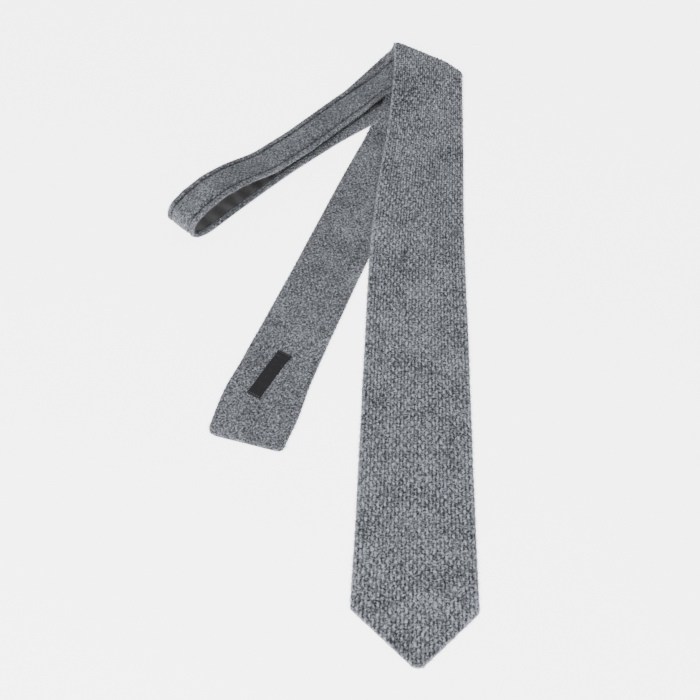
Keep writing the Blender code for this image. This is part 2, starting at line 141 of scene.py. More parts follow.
# Share of the way from the loop's bend to the hidden crease, and share of the loop's free height
LOOP_LIFT = (
    (0.000, 0.870), (0.030, 0.890), (0.100, 1.000), (0.156, 0.910), (0.196, 0.800), (0.240, 0.640),
    (0.280, 0.480), (0.324, 0.340), (0.392, 0.250), (0.480, 0.150), (0.680, 0.105), (0.770, 0.055),
    (0.850, 0.000), (1.000, 0.000),
)
# The parts that lie under each part
UNDER = {
    Part.BLADE: (Part.REACH, Part.TAIL, Part.RETURN),
    Part.REACH: (),
    Part.RETURN: (Part.REACH, Part.TAIL),
    Part.TAIL: (Part.REACH,),
}
SIDES = (1.0, -1.0)
MILLIMETRES = 1000.0
FLOOR_EASE = 0.00005
LOWEST = 0.0001


def smooth(share: Array) -> Array:
    """Ease from 0 to 1."""
    share = np.clip(share, 0.0, 1.0)
    return share * share * (3.0 - 2.0 * share)


def curve(stations: list, values: list, at: Array) -> Array:
    """Smooth curve through points, without overshoot.

    Args:
        stations: Where the values are given, rising.
        values: The values there.
        at: Where the curve is wanted.

    Returns:
        The curve's values.
    """
    x, y = np.asarray(stations, float), np.asarray(values, float)
    step = np.diff(x)
    slope = np.diff(y) / step
    tangent = np.concatenate([slope[:1], slope[1:], slope[-1:]])
    same = slope[:-1] * slope[1:] > 0.0
    tangent[1:-1] = np.where(same, 2.0 * slope[:-1] * slope[1:] / np.where(same, slope[:-1] + slope[1:], 1.0), 0.0)
    at = np.clip(at, x[0], x[-1])
    i = np.clip(np.searchsorted(x, at, side="right") - 1, 0, len(x) - 2)
    t = (at - x[i]) / step[i]
    ease = t * t * (3.0 - 2.0 * t)
    rest = step[i] * (tangent[i] * t * (1.0 - t) ** 2 - tangent[i + 1] * t * t * (1.0 - t))
    return y[i] + (y[i + 1] - y[i]) * ease + rest


def direction(angle: Array) -> Array:
    """Unit vectors in the plane at angles."""
    return np.stack([np.cos(angle), np.sin(angle)], axis=-1)


def ring_distance(points: Array, ring: Array, closed: bool = True) -> Array:
    """Distance of points outside a closed outline, or from an open line.

    Args:
        points: Places in plan.
        ring: Corners of the outline or line.
        closed: Whether the outline is closed; points inside are at 0.

    Returns:
        One distance for each point.
    """
    a, b = ring, np.roll(ring, -1, axis=0)
    if not closed:
        a, b = a[:-1], b[:-1]
    span = b - a
    rel = points[:, None, :] - a[None]
    share = np.clip((rel * span).sum(-1) / np.maximum((span * span).sum(-1), 1e-12), 0.0, 1.0)
    gap = np.sqrt(((rel - share[..., None] * span) ** 2).sum(-1)).min(axis=1)
    if not closed:
        return gap
    crosses = (a[None, :, 1] > points[:, None, 1]) != (b[None, :, 1] > points[:, None, 1])
    rise = np.where(np.abs(span[None, :, 1]) < 1e-12, 1e-12, span[None, :, 1])
    level = a[None, :, 0] + (points[:, None, 1] - a[None, :, 1]) * span[None, :, 0] / rise
    inside = (crosses & (points[:, None, 0] < level)).sum(axis=1) % 2 == 1
    return np.where(inside, 0.0, gap)


class Crease:
    """A fold of the strip toward its back, across a straight line of the unfolded strip."""

    def __init__(self, strip: "Strip", station: float, turn: float, lead: float) -> None:
        """Put the crease at a station, turned from square across the strip.

        Args:
            strip: The strip of cloth.
            station: Where the crease meets the middle line.
            turn: Its turn from square across, in degrees.
            lead: How much farther the upper half of the bend reaches than the lower.
        """
        sizes = strip.sizes
        ahead = float(strip.heading(station)) + math.radians(turn)
        self.lead = lead
        self.point = strip.middle(station)
        self.ahead = direction(ahead)
        self.along = direction(ahead + 0.5 * math.pi)
        ends = [strip.edge(np.array([station]), side)[0] / math.cos(math.radians(turn)) for side in (-1.0, 1.0)]
        self.across = np.linspace(ends[0], ends[1], sizes.crease_samples)
        start = 0.5 * (sizes.knit + sizes.layer_ease) + 0.5 * sizes.crease_ease
        self.radii = np.full(self.across.shape, start)

    def quarters(self, across: Array) -> tuple[Array, Array, Array]:
        """Radius of the bend, and the lengths of its first and second quarter turn.

        Args:
            across: Distances along the crease.

        Returns:
            The radii and the two lengths.
        """
        radius = np.interp(across, self.across, self.radii)
        first = 0.5 * math.pi * np.sqrt(0.5 * ((radius + self.lead) ** 2 + radius**2))
        return radius, first, 0.5 * math.pi * radius

    def length(self, across: Array) -> Array:
        """Length of cloth that goes round the bend."""
        _, first, second = self.quarters(across)
        return first + second

    def line(self) -> Array:
        """Points along the crease, in the unfolded plane."""
        return self.point + self.across[:, None] * self.along

    def measure(self, points: Array) -> tuple[Array, Array, Array]:
        """Distance past the crease, distance along it, and angle around its bend.

        Args:
            points: Places in the unfolded plane.

        Returns:
            Three numbers for each place.
        """
        rel = points - self.point
        past, across = rel @ self.ahead, rel @ self.along
        _, first, second = self.quarters(across)
        turns = np.minimum(past / first, 1.0) + np.clip((past - first) / second, 0.0, 1.0)
        return past, across, 0.5 * math.pi * np.maximum(turns, 0.0)

    def fold(self, points: Array, bends: bool) -> Array:
        """Plan places of points past the crease.

        Args:
            points: Unfolded points.
            bends: Whether this crease is the nearest one, the only one that the cloth goes round.

        Returns:
            Their places once folded.
        """
        past, across, angle = self.measure(points)
        radius, first, second = self.quarters(across)
        reach = self.lead + first + second - past
        if bends:
            lead = np.where(past < first, self.lead * np.sin(angle), self.lead)
            reach = radius * np.sin(angle) + np.minimum(reach, lead)
        return self.point + reach[:, None] * self.ahead + across[:, None] * self.along


class Strip:
    """The folded strip of cloth: maps stations and distances across it to places in space."""

    COLUMNS = 23
    CHUNK = 16000

    def __init__(self, sizes: Sizes) -> None:
        """Draw the strip flat and settle its layers on each other.

        Args:
            sizes: The strip's sizes.
        """
        self.sizes = sizes
        self.starts = sizes.starts
        self.heading_table = self._table(HEADINGS, (math.radians(1.0),) * 4)
        self.width_table = self._table(HALF_WIDTHS, tuple(0.5 * width for width in sizes.widths))
        self.line_stations = np.arange(-20, int(sizes.total / sizes.sample) + 40) * sizes.sample
        self.line_headings = curve(*self.heading_table, self.line_stations)
        self.line_points = np.cumsum(direction(self.line_headings) * sizes.sample, axis=0)
        self.line_points -= self.middle(sizes.widest_station)
        folds = zip(self.starts[1:4], sizes.turns, sizes.leads)
        self.creases = [Crease(self, station, turn, lead) for station, turn, lead in folds]
        self.outlines: dict[Part, Array] = {}
        self.lines: dict[int, Array] = {}
        self._settle()

    def _table(self, rows: dict, scales: tuple) -> tuple[list[float], list[float]]:
        """Stations along the strip and scaled values, from a table of shares and values for each part.

        Args:
            rows: For each part, points of its share and a value.
            scales: One factor for each part.

        Returns:
            The stations and the values.
        """
        stations, values = [], []
        for part, points in rows.items():
            stations += [self.starts[part.value] + share * self.sizes.lengths[part.value] for share, _ in points]
            values += [value * scales[part.value] for _, value in points]
        return stations, values

    def middle(self, station: Array) -> Array:
        """Points of the unfolded middle line."""
        return np.stack([np.interp(station, self.line_stations, self.line_points[:, k]) for k in (0, 1)], axis=-1)

    def heading(self, station: Array) -> Array:
        """Heading of the unfolded middle line."""
        return np.interp(station, self.line_stations, self.line_headings)

    def base_half(self, station: Array) -> Array:
        """Half the strip's width before its corners are taken off."""
        return curve(*self.width_table, station)

    def half_width(self, station: Array) -> Array:
        """Half the strip's width, its corners at the point and at the square end taken off.

        Args:
            station: Stations of the places.

        Returns:
            One width for each station.
        """
        s = self.sizes
        width = self.base_half(station)
        slope = math.radians(s.point_half_angle)
        from_point = np.maximum(station, 0.0)
        touch = s.point_radius * (1.0 - math.sin(slope))
        nose = np.sqrt(np.maximum(s.point_radius**2 - (s.point_radius - np.minimum(from_point, touch)) ** 2, 0.0))
        nose = nose + np.maximum(from_point - touch, 0.0) * math.tan(slope)
        blend = np.clip(0.5 + 0.5 * (nose - width) / s.shoulder_blend, 0.0, 1.0)
        width = nose * (1.0 - blend) + width * blend - s.shoulder_blend * blend * (1.0 - blend)
        radius = s.tail_corner_radius
        from_end = np.clip(s.total - station, 0.0, radius)
        corner = np.sqrt(np.maximum(radius**2 - (radius - from_end) ** 2, 0.0))
        return np.maximum(width - radius + corner, 0.0)

    def aside(self, station: Array) -> Array:
        """Sideways shift of the strip's middle toward the point of the front blade."""
        return self.sizes.point_aside * np.clip(1.0 - station / (0.5 * self.sizes.widths[0]), 0.0, 1.0)

    def skew(self, station: Array) -> Array:
        """Slant of the lines across the strip, so that they run along the creases near them.

        Args:
            station: Stations of the places.

        Returns:
            Distance ahead for each distance to the left.
        """
        s = self.sizes
        slant = np.zeros_like(station)
        for at, turn in zip(self.starts[1:4], s.turns):
            past = station - at
            near = 1.0 - smooth((np.maximum(-past, past - s.slant_past) - s.slant_before) / s.slant_fade)
            slant = slant - math.tan(math.radians(turn)) * near
        return slant

    def flat(self, station: Array, across: Array) -> Array:
        """Points of the unfolded plane at stations and distances to the left of the middle line.

        Args:
            station: Stations of the places.
            across: Their distances across.

        Returns:
            Points of the plane.
        """
        angle = self.heading(station)
        side = direction(angle + 0.5 * math.pi) + self.skew(station)[..., None] * direction(angle)
        return self.middle(station) + across[..., None] * side

    def edge(self, station: Array, side: float) -> Array:
        """Distance from the middle line to the strip's left (+1) or right (-1) edge.

        Args:
            station: Stations of the places.
            side: 1 for the left edge, -1 for the right one.

        Returns:
            One distance for each station.
        """
        across = side * self.half_width(station)
        for _ in range(4):
            along = station + across * self.skew(station)
            across = side * self.half_width(along) + self.aside(along)
        return across

    def _plan(self, points: Array, count: int) -> Array:
        """Plan places of unfolded points past the first creases, by how many they pass.

        Args:
            points: Places in the unfolded plane.
            count: How many creases they are past.

        Returns:
            Places in plan.
        """
        for crease in reversed(self.creases[:count]):
            points = crease.fold(points, crease is self.creases[count - 1])
        return points

    def _outline(self, part: Part) -> Array:
        """Closed plan outline of a part, with the bends at its ends.

        Args:
            part: The part.

        Returns:
            Corners of the outline.
        """
        start = self.starts[part.value]
        stations = np.linspace(start, start + self.sizes.lengths[part.value], 60)
        left = self.flat(stations, self.edge(stations, 1.0))
        right = self.flat(stations, self.edge(stations, -1.0))
        return self._plan(np.concatenate([left, right[::-1]]), part.value)

    def _past_bend(self, points: Array) -> Array:
        """Distance past the loop's bend, for unfolded points."""
        past, across, _ = self.creases[1].measure(points)
        return np.maximum(past - self.creases[1].length(across), 0.0)

    def _height(self, part: Part, places: Array, past_loop: Array) -> Array:
        """Height of the middle of the cloth over plan places.

        Args:
            part: Part of the strip that the places are on.
            places: Places in plan.
            past_loop: Distance of each place past the loop's bend.

        Returns:
            Heights above the floor.
        """
        s = self.sizes
        total = np.full(len(places), 0.5 * s.knit)
        ramp = s.blade_ramp if part is Part.BLADE else s.lower_ramp
        for other in UNDER[part]:
            gap = ring_distance(places, self.outlines[other])
            total = total + (s.knit + s.layer_ease) * (1.0 - smooth((gap - s.cover_margin) / ramp))
        for index in {Part.BLADE: (0, 2), Part.RETURN: (2,)}.get(part, ()):
            gap = ring_distance(places, self.lines[index], closed=False)
            total = total + s.crease_ease * (1.0 - smooth(gap / s.crease_reach))
        if part is Part.RETURN:
            free = s.lengths[2] - float(self.creases[1].length(0.0))
            rows = np.array(LOOP_LIFT)
            share = curve(rows[:, 0], rows[:, 1], past_loop / free)
            total = total + share * (s.loop_height - 1.5 * s.knit - s.layer_ease)
        return total

    def _settle(self) -> None:
        """Work out each crease's radius from the heights of the two layers that it joins."""
        s = self.sizes
        self.creases[1].radii[:] = 0.5 * (LOOP_LIFT[0][1] * s.loop_height - 0.5 * s.knit)
        for _ in range(3):
            self.outlines.update({part: self._outline(part) for part in list(Part)[1:]})
            self.lines.update({k: self._plan(self.creases[k].line()[[0, -1]], k) for k in (0, 2)})
            for count, crease in enumerate(self.creases):
                line = crease.line()
                places = self._plan(line, count)
                run = self._past_bend(line) if count == 2 else np.zeros(len(line))
                above = self._height(Part(count), places, run)
                below = self._height(Part(count + 1), places, run)
                crease.radii = 0.5 * np.abs(above - below)

    def _surface(self, station: Array, across: Array) -> Array:
        """Middle of the cloth at flat lists of stations and distances across.

        Args:
            station: Stations of the places.
            across: Their distances across.

        Returns:
            Places in space.
        """
        points = self.flat(station, across)
        place = np.zeros((len(points), 3))
        layer = sum((crease.measure(points)[0] > 0.0).astype(int) for crease in self.creases)
        for count in range(4):
            rows = np.nonzero(layer == count)[0]
            if not len(rows):
                continue
            part = points[rows]
            spot = self._plan(part, count)
            level = self._height(Part(count), spot, self._past_bend(part))
            if count:
                crease = self.creases[count - 1]
                past, along, angle = crease.measure(part)
                root = part - past[:, None] * crease.ahead
                foot = self._plan(root, count - 1)
                run = self._past_bend(root) if count == 3 else np.zeros(len(part))
                above = self._height(Part(count - 1), foot, run)
                below = self._height(Part(count), foot, run)
                bend = 0.5 * (above + below) + 0.5 * (above - below) * np.cos(angle)
                past_end = past - crease.length(along)
                end = self._plan(part - past_end[:, None] * crease.ahead, count)
                step = below - self._height(Part(count), end, run)
                fading = 1.0 - smooth(past_end / self.sizes.bend_fade)
                level = np.where(angle < math.pi, bend, level + step * fading)
            place[rows, :2] = spot
            place[rows, 2] = level
        return place

    def surface(self, station: Array, across: Array) -> Array:
        """Middle of the cloth at stations and distances across, of any array shape.

        Args:
            station: Stations of the places.
            across: Their distances across.

        Returns:
            Places in space, of the same shape by 3.
        """
        station, across = np.broadcast_arrays(np.asarray(station, float), np.asarray(across, float))
        flat_station, flat_across = station.ravel(), across.ravel()
        runs = [
            self._surface(flat_station[k : k + self.CHUNK], flat_across[k : k + self.CHUNK])
            for k in range(0, len(flat_station), self.CHUNK)
        ]
        return np.concatenate(runs).reshape(station.shape + (3,))

    def normals(self, station: Array, across: Array, step: float = 0.0004) -> Array:
        """Unit normals of the cloth's outer face.

        Args:
            station: Stations of the places.
            across: Their distances across.
            step: Distance to the places that it compares.

        Returns:
            Unit normals, of the same shape by 3.
        """
        ahead = self.surface(station + step, across) - self.surface(station - step, across)
        side = self.surface(station, across + step) - self.surface(station, across - step)
        normal = np.cross(ahead, side)
        return normal / np.linalg.norm(normal, axis=-1, keepdims=True)

    def lay(self, stations: Array, across: Array) -> tuple[Array, Array]:
        """Middle points and normals for a fine grid, through a coarser grid across the strip.

        Args:
            stations: One station for each row.
            across: Distances across, rows by columns.

        Returns:
            Points and unit normals, rows by columns by 3.
        """
        reach = 1.10 * self.base_half(stations)[:, None] + 0.004
        shares = np.linspace(-1.0, 1.0, self.COLUMNS)
        coarse = reach * shares
        rows = np.broadcast_to(stations[:, None], coarse.shape)
        grid = np.concatenate([self.surface(rows, coarse), self.normals(rows, coarse)], axis=-1)
        u = (across / reach + 1.0) * 0.5 * (self.COLUMNS - 1)
        i = np.clip(np.floor(u).astype(int), 1, self.COLUMNS - 3)
        t = (u - i)[..., None]
        row = np.arange(len(stations))[:, None]
        a, b, c, d = (grid[row, i + k] for k in (-1, 0, 1, 2))
        fine = b + 0.5 * t * (c - a + t * (2.0 * a - 5.0 * b + 4.0 * c - d + t * (3.0 * (b - c) + d - a)))
        normal = fine[..., 3:] / np.linalg.norm(fine[..., 3:], axis=-1, keepdims=True)
        return fine[..., :3], normal

    def raised(
        self, stations: Array, across: Array, out: Array, lowest: float
    ) -> tuple[Array, Array]:
        """Points of a fine grid at heights over the middle of the cloth, and their normals.

        Args:
            stations: One station for each row.
            across: Distances across, rows by columns.
            out: Heights along the normals, of the same shape.
            lowest: Least height above the floor.

        Returns:
            Points and unit normals, rows by columns by 3.
        """
        middle, normal = self.lay(stations, across)
        points = middle + out[..., None] * normal
        points[..., 2] = np.maximum(points[..., 2], lowest)
        return points, normal

    def neck_span(self) -> tuple[float, float]:
        """First and last station of the neck band.

        Returns:
            The two stations.
        """
        s = self.sizes
        return (self.starts[1] + s.seam_past_crease + s.clearance,
                self.starts[3] + s.tail_seam_past_crease - s.clearance)


class Grain:
    """Smooth random values over a plane, from a seeded table."""

    SIZE = 256

    def __init__(self, seed: int) -> None:
        """Fill the table."""
        self.table = np.random.default_rng(seed).random((self.SIZE, self.SIZE))

    def cell(self, i: Array, j: Array) -> Array:
        """Random value of whole-number cells, from 0 to 1."""
        return self.table[i.astype(int) % self.SIZE, j.astype(int) % self.SIZE]

    def at(self, x: Array, y: Array) -> Array:
        """Smooth value at a place, from -1 to 1.

        Args:
            x: First number of each place.
            y: Second number of each place.

        Returns:
            One value for each place.
        """
        i, j = np.floor(x), np.floor(y)
        u, v = smooth(x - i), smooth(y - j)
        low = self.cell(i, j) * (1.0 - u) + self.cell(i + 1, j) * u
        high = self.cell(i, j + 1) * (1.0 - u) + self.cell(i + 1, j + 1) * u
        return 2.0 * (low * (1.0 - v) + high * v) - 1.0


@dataclass(frozen=True)
class KnitRelief:
    """Raised bumps of a knit, in a brick pattern over wales and courses."""

    depth: float
    uneven: float
    felt: float
    seed: int
    sharp: float = 1.0

    def height(self, wale: Array, course: Array) -> Array:
        """Height of the knit above its hollows.

        Args:
            wale: Number of the column of stitches, from the middle.
            course: Number of the row of stitches.

        Returns:
            Heights in metres.
        """
        grain = Grain(self.seed)
        p, q = 0.5 * (wale + course), 0.5 * (wale - course)
        crown = 0.5 + 0.25 * (np.cos(2.0 * math.pi * p) + np.cos(2.0 * math.pi * q))
        peak = (np.cos(math.pi * p) * np.cos(math.pi * q)) ** 2
        spread = 1.0 + self.uneven * (2.0 * grain.cell(np.round(p), np.round(q)) - 1.0) * peak
        felt = grain.at(1.7 * wale + 31.0, 1.7 * course) + 0.6 * grain.at(3.9 * wale, 3.9 * course + 57.0)
        return self.depth * crown**self.sharp * spread + self.felt * felt


class Graph:
    """A material's node tree, wired in short calls; a value is a number or a node's socket."""

    def __init__(self, name: str) -> None:
        """Start a material with a shader and an output.

        Args:
            name: The material's name.
        """
        self.material = bpy.data.materials.new(name)
        self.material.use_nodes = True
        self.tree = self.material.node_tree
        self.shader = self.tree.nodes["Principled BSDF"]

    def node(self, kind: str, inputs: dict | None = None, **options: str) -> bpy.types.Node:
        """A new node with its options and inputs set.

        Args:
            kind: The node's type.
            inputs: Values by the name of the input.
            options: Options by name.

        Returns:
            The new node.
        """
        node = self.tree.nodes.new(kind)
        for name, value in options.items():
            setattr(node, name, value)
        for name, value in (inputs or {}).items():
            self.feed(node.inputs[name], value)
        return node

    def feed(self, socket: bpy.types.NodeSocket, value: Value) -> None:
        """Link a socket to a value's socket, or set its constant.

        Args:
            socket: The socket.
            value: The value.
        """
        if isinstance(value, bpy.types.NodeSocket):
            self.tree.links.new(value, socket)
        else:
            socket.default_value = value

    def maths(self, operation: str, *values: Value) -> Value:
        """Result of a sum on one to three values.

        Args:
            operation: Blender's name of the sum.
            values: The values.

        Returns:
            The result's socket.
        """
        node = self.node("ShaderNodeMath", operation=operation)
        for k, value in enumerate(values):
            self.feed(node.inputs[k], value)
        return node.outputs[0]

    def add(self, *terms: Value) -> Value:
        """Sum of several values."""
        return reduce(lambda total, term: self.maths("ADD", total, term), terms)

    def times(self, value: Value, factor: Value) -> Value:
        """Product of two values."""
        return self.maths("MULTIPLY", value, factor)

    def scaled(self, value: Value, factor: float, centre: float = 0.5) -> Value:
        """A value about its centre, times a factor."""
        return self.times(self.maths("SUBTRACT", value, centre), factor)

    def uv(self) -> tuple[Value, Value]:
        """The piece's own wale and course numbers.

        Returns:
            Two sockets.
        """
        place = self.node("ShaderNodeUVMap", uv_map="knit").outputs["UV"]
        split = self.node("ShaderNodeSeparateXYZ", {"Vector": place})
        return split.outputs["X"], split.outputs["Y"]

    def _noise(self, place: Value, scale: float, detail: float, rough: float) -> Value:
        """Noise at a place."""
        inputs = {"Vector": place, "Scale": scale, "Detail": detail, "Roughness": rough}
        return self.node("ShaderNodeTexNoise", inputs).outputs[0]

    def noise(self, scale: float, detail: float = 2.0, rough: float = 0.5) -> Value:
        """Noise over the object's own coordinates, with its scale in features to the metre."""
        return self._noise(self.node("ShaderNodeTexCoord").outputs["Object"], scale, detail, rough)

    def uv_noise(self, x: Value, y: Value, detail: float, rough: float) -> Value:
        """Noise over two numbers of the piece's own map."""
        return self._noise(self.node("ShaderNodeCombineXYZ", {"X": x, "Y": y}).outputs["Vector"], 1.0, detail, rough)

    def flecks(self, scale: float) -> Value:
        """Random value of irregular small cells over the object's own coordinates.

        Args:
            scale: Cells to the metre.

        Returns:
            The value's socket.
        """
        place = self.node("ShaderNodeTexCoord").outputs["Object"]
        cells = self.node("ShaderNodeTexVoronoi", {"Vector": place, "Scale": scale}).outputs["Color"]
        return self.node("ShaderNodeSeparateColor", {"Color": cells}).outputs[0]

    def attribute(self, name: str) -> Value:
        """A number kept on the mesh's points."""
        return self.node("ShaderNodeAttribute", attribute_name=name).outputs["Fac"]

    def paint(self, tone: Value, *colours: tuple) -> None:
        """Colour the shader by a tone held between 0 and 1, through evenly spread colours.

        Args:
            tone: The tone.
            colours: The colours, from tone 0 to tone 1.
        """
        tone = self.maths("MAXIMUM", self.maths("MINIMUM", tone, 1.0), 0.0)
        node = self.node("ShaderNodeValToRGB", {"Fac": tone})
        elements = node.color_ramp.elements
        while len(elements) < len(colours):
            elements.new(0.5)
        for k, colour in enumerate(colours):
            elements[k].position = k / (len(colours) - 1)
            elements[k].color = (*colour, 1.0)
        self.feed(self.shader.inputs["Base Color"], node.outputs["Color"])

    def bump(self, height: Value, strength: float, distance: float) -> None:
        """Feed the shader's normal from a height."""
        inputs = {"Height": height, "Strength": strength, "Distance": distance}
        self.feed(self.shader.inputs["Normal"], self.node("ShaderNodeBump", inputs).outputs["Normal"])

    def gloss(self, **values: float) -> bpy.types.Material:
        """Set constants on the shader, and give the finished material.

        Args:
            values: Constants by the name of the input, with _ for a space.

        Returns:
            The material.
        """
        for name, value in values.items():
            self.shader.inputs[name.replace("_", " ")].default_value = value
        return self.material


@dataclass(frozen=True)
class Finish:
    """A cloth's finish, between a dark and a light colour."""

    name: str
    dark: tuple
    light: tuple


@dataclass(frozen=True)
class YarnFinish(Finish):
    """Brushed cashmere yarn: strengths of a knit's crowns (painted light on them, painted shade in the hollows
    between them), painted shade between the wales, uneven stitches, fibres and soft patches, a painted highlight
    along the edges and painted shade in the seam grooves.
    """

    # Strength of painted light on the stitch crowns and painted shade in the hollows between them.
    crown: float = 0.46
    stitch: float = 0.20
    sharp: float = 2.1
    # Strength of painted shade in the gaps between the wales.
    gap: float = 0.05
    drift: float = 0.7
    fibre: float = 0.90
    fleck: float = 0.42
    melange: float = 1.20
    patch: float = 0.55
    strand: float = 0.60
    # Strength of a painted highlight along the cloth's edges, where fuzzy fibres catch the light.
    rim: float = 0.25
    # Strength of painted shade in the neck band's seam grooves; negative darkens.
    groove: float = -0.45
    base: float = 0.46
    middle: float = 0.30
    sheen: float = 0.08
    drift_scales: tuple = (260.0, 230.0)
    strand_scales: tuple = (3.0, 1.2)
    fibre_scale: float = 1500.0
    fleck_scale: float = 1050.0
    melange_scale: float = 700.0
    patch_scale: float = 32.0
    relief: float = 0.0006

    def build(self) -> bpy.types.Material:
        """Make the material.

        Returns:
            The new material.
        """
        g = Graph(self.name)
        x, y = g.uv()
        x = g.add(x, g.scaled(g.noise(self.drift_scales[0], 2.0, 0.6), self.drift))
        y = g.add(y, g.scaled(g.noise(self.drift_scales[1], 2.0, 0.6), 1.4 * self.drift))
        p, q = g.times(g.add(x, y), 0.5), g.times(g.maths("SUBTRACT", x, y), 0.5)
        waves = [g.maths("COSINE", g.times(value, 2.0 * math.pi)) for value in (p, q)]
        grain = g.maths("POWER", g.maths("MULTIPLY_ADD", g.add(*waves), 0.25, 0.5), self.sharp)
        cell = g.node("ShaderNodeCombineXYZ", {"X": g.maths("ROUND", p), "Y": g.maths("ROUND", q)}).outputs["Vector"]
        stitch = g.node("ShaderNodeTexWhiteNoise", {"Vector": cell}, noise_dimensions="3D").outputs["Value"]
        fibre = g.noise(self.fibre_scale, 3.0, 0.65)
        melange = g.noise(self.melange_scale, 3.0, 0.60)
        strand = g.uv_noise(g.times(x, self.strand_scales[0]), g.times(y, self.strand_scales[1]), 2.0, 0.6)
        # Painted shade between the wales, lighter along each wale.
        column = g.maths("COSINE", g.times(x, 2.0 * math.pi))
        tone = g.add(
            # Painted light on the stitch crowns and painted shade in their hollows, on the same lattice as the
            # relief.
            g.scaled(grain, self.crown, 0.22),
            g.times(g.scaled(stitch, self.stitch), grain),
            g.times(column, 0.5 * self.gap),
            g.scaled(fibre, self.fibre),
            g.scaled(g.flecks(self.fleck_scale), self.fleck),
            g.scaled(melange, self.melange),
            g.scaled(g.noise(self.patch_scale, 3.0, 0.55), self.patch),
            g.scaled(strand, self.strand),
            # Painted highlight along the edges.
            g.times(g.attribute("rim"), self.rim),
            # Painted shade in the seam grooves.
            g.times(g.attribute("groove"), self.groove),
            self.base,
        )
        middle = tuple(a + (b - a) * self.middle for a, b in zip(self.dark, self.light))
        g.paint(tone, self.dark, middle, self.light)
        g.bump(g.add(g.times(grain, 0.9), g.times(fibre, 0.9), melange), 0.7, self.relief)
        return g.gloss(Roughness=0.95, Sheen_Weight=self.sheen, Sheen_Roughness=0.55, Specular_IOR_Level=0.15)


@dataclass(frozen=True)
class SatinFinish(Finish):
    """Dark satin lining, finely woven, with soft streaks across it and bands of painted light and shade for its
    folds; its map is in millimetres.
    """

    # Pitch of the painted light and shade bands for the creases, in millimetres.
    crease_shade_pitch: float = 13.5
    relief: float = 0.0003

    def build(self) -> bpy.types.Material:
        """Make the material.

        Returns:
            The new material.
        """
        g = Graph(self.name)
        x, y = g.uv()
        streak = g.uv_noise(g.times(x, 0.25), g.times(y, 2.2), 3.0, 0.6)
        slub = g.uv_noise(g.times(x, 9.0), g.times(y, 1.1), 2.0, 0.5)
        # Painted light and shade of the lining's creases, as bands across it.
        fold = g.maths("SINE", g.add(g.times(y, 2.0 * math.pi / self.crease_shade_pitch), g.times(g.noise(60.0), 5.0)))
        g.paint(g.add(g.scaled(streak, 0.9), g.scaled(slub, 0.5), g.times(fold, 0.30), 0.45), self.dark, self.light)
        warp = g.maths("SINE", g.times(g.add(x, g.times(y, 0.5)), 15.0))
        g.bump(g.add(g.times(warp, 0.12), streak), 0.35, self.relief)
        return g.gloss(Roughness=0.42, Sheen_Weight=0.1, Specular_IOR_Level=0.5, Anisotropic=0.35)


@dataclass(frozen=True)
class TapeFinish(Finish):
    """Bare woven twill tape with slightly lighter selvedges; its map is in millimetres."""

    relief: float = 0.0002

    def build(self) -> bpy.types.Material:
        """Make the material.

        Returns:
            The new material.
        """
        g = Graph(self.name)
        x, y = g.uv()
        twill, pick = g.maths("SINE", g.times(g.add(x, y), 9.0)), g.maths("SINE", g.times(y, 21.0))
        fibre = g.noise(1800.0, 2.0, 0.6)
        selvedge = g.times(g.attribute("rim"), 0.45)
        tone = g.add(g.times(twill, 0.16), g.times(pick, 0.08), g.scaled(fibre, 0.7), selvedge, 0.30)
        g.paint(tone, self.dark, self.light)
        g.bump(g.add(g.times(twill, 0.5), fibre), 0.4, self.relief)
        return g.gloss(Roughness=0.7, Sheen_Weight=0.0, Specular_IOR_Level=0.12)


@dataclass(frozen=True)
class PlainFinish:
    """One colour with a little fibre in it, for threads, fuzz and the floor."""

    name: str
    colour: tuple
    roughness: float = 0.9
    vary: float = 0.15
    sheen: float = 0.0

    def build(self) -> bpy.types.Material:
        """Make the material.

        Returns:
            The new material.
        """
        g = Graph(self.name)
        low, high = (tuple(min(c * share, 1.0) for c in self.colour) for share in (1.0 - self.vary, 1.0 + self.vary))
        g.paint(g.add(g.scaled(g.noise(700.0), 1.6), 0.5), low, high)
        return g.gloss(Roughness=self.roughness, Sheen_Weight=self.sheen, Specular_IOR_Level=0.2)


@dataclass
class Surface:
    """Points of a closed skin in rings, with the numbers kept on them."""

    points: Array
    uv: Array
    numbers: dict = field(default_factory=dict)

    def mesh(self, name: str, finish: bpy.types.Material) -> bpy.types.Object:
        """Closed, smooth mesh of the rings, with a fan over each end.

        Args:
            name: The object's name.
            finish: Its material.

        Returns:
            The new object.
        """
        count, wide = self.points.shape[:2]
        ends = np.stack([self.points[0].mean(axis=0), self.points[-1].mean(axis=0)])
        points = np.concatenate([self.points.reshape(-1, 3), ends])
        row, column = np.meshgrid(np.arange(count - 1) * wide, np.arange(wide), indexing="ij")
        after = (column + 1) % wide
        quads = np.stack([row + column, row + after, row + wide + after, row + wide + column], axis=-1).reshape(-1, 4)
        around = np.arange(wide)
        last = (count - 1) * wide
        first_fan = np.stack([np.full(wide, count * wide), (around + 1) % wide, around], axis=-1)
        last_fan = np.stack([np.full(wide, count * wide + 1), last + around, last + (around + 1) % wide], axis=-1)
        fans = np.concatenate([first_fan, last_fan])
        uv = np.concatenate([self.uv.reshape(-1, 2), self.uv[[0, -1]].mean(axis=1)])
        numbers = {
            key: np.concatenate([value.ravel(), value[[0, -1]].mean(axis=1)]) for key, value in self.numbers.items()
        }
        return mesh_object(name, points, (quads, fans), finish, uv, numbers)


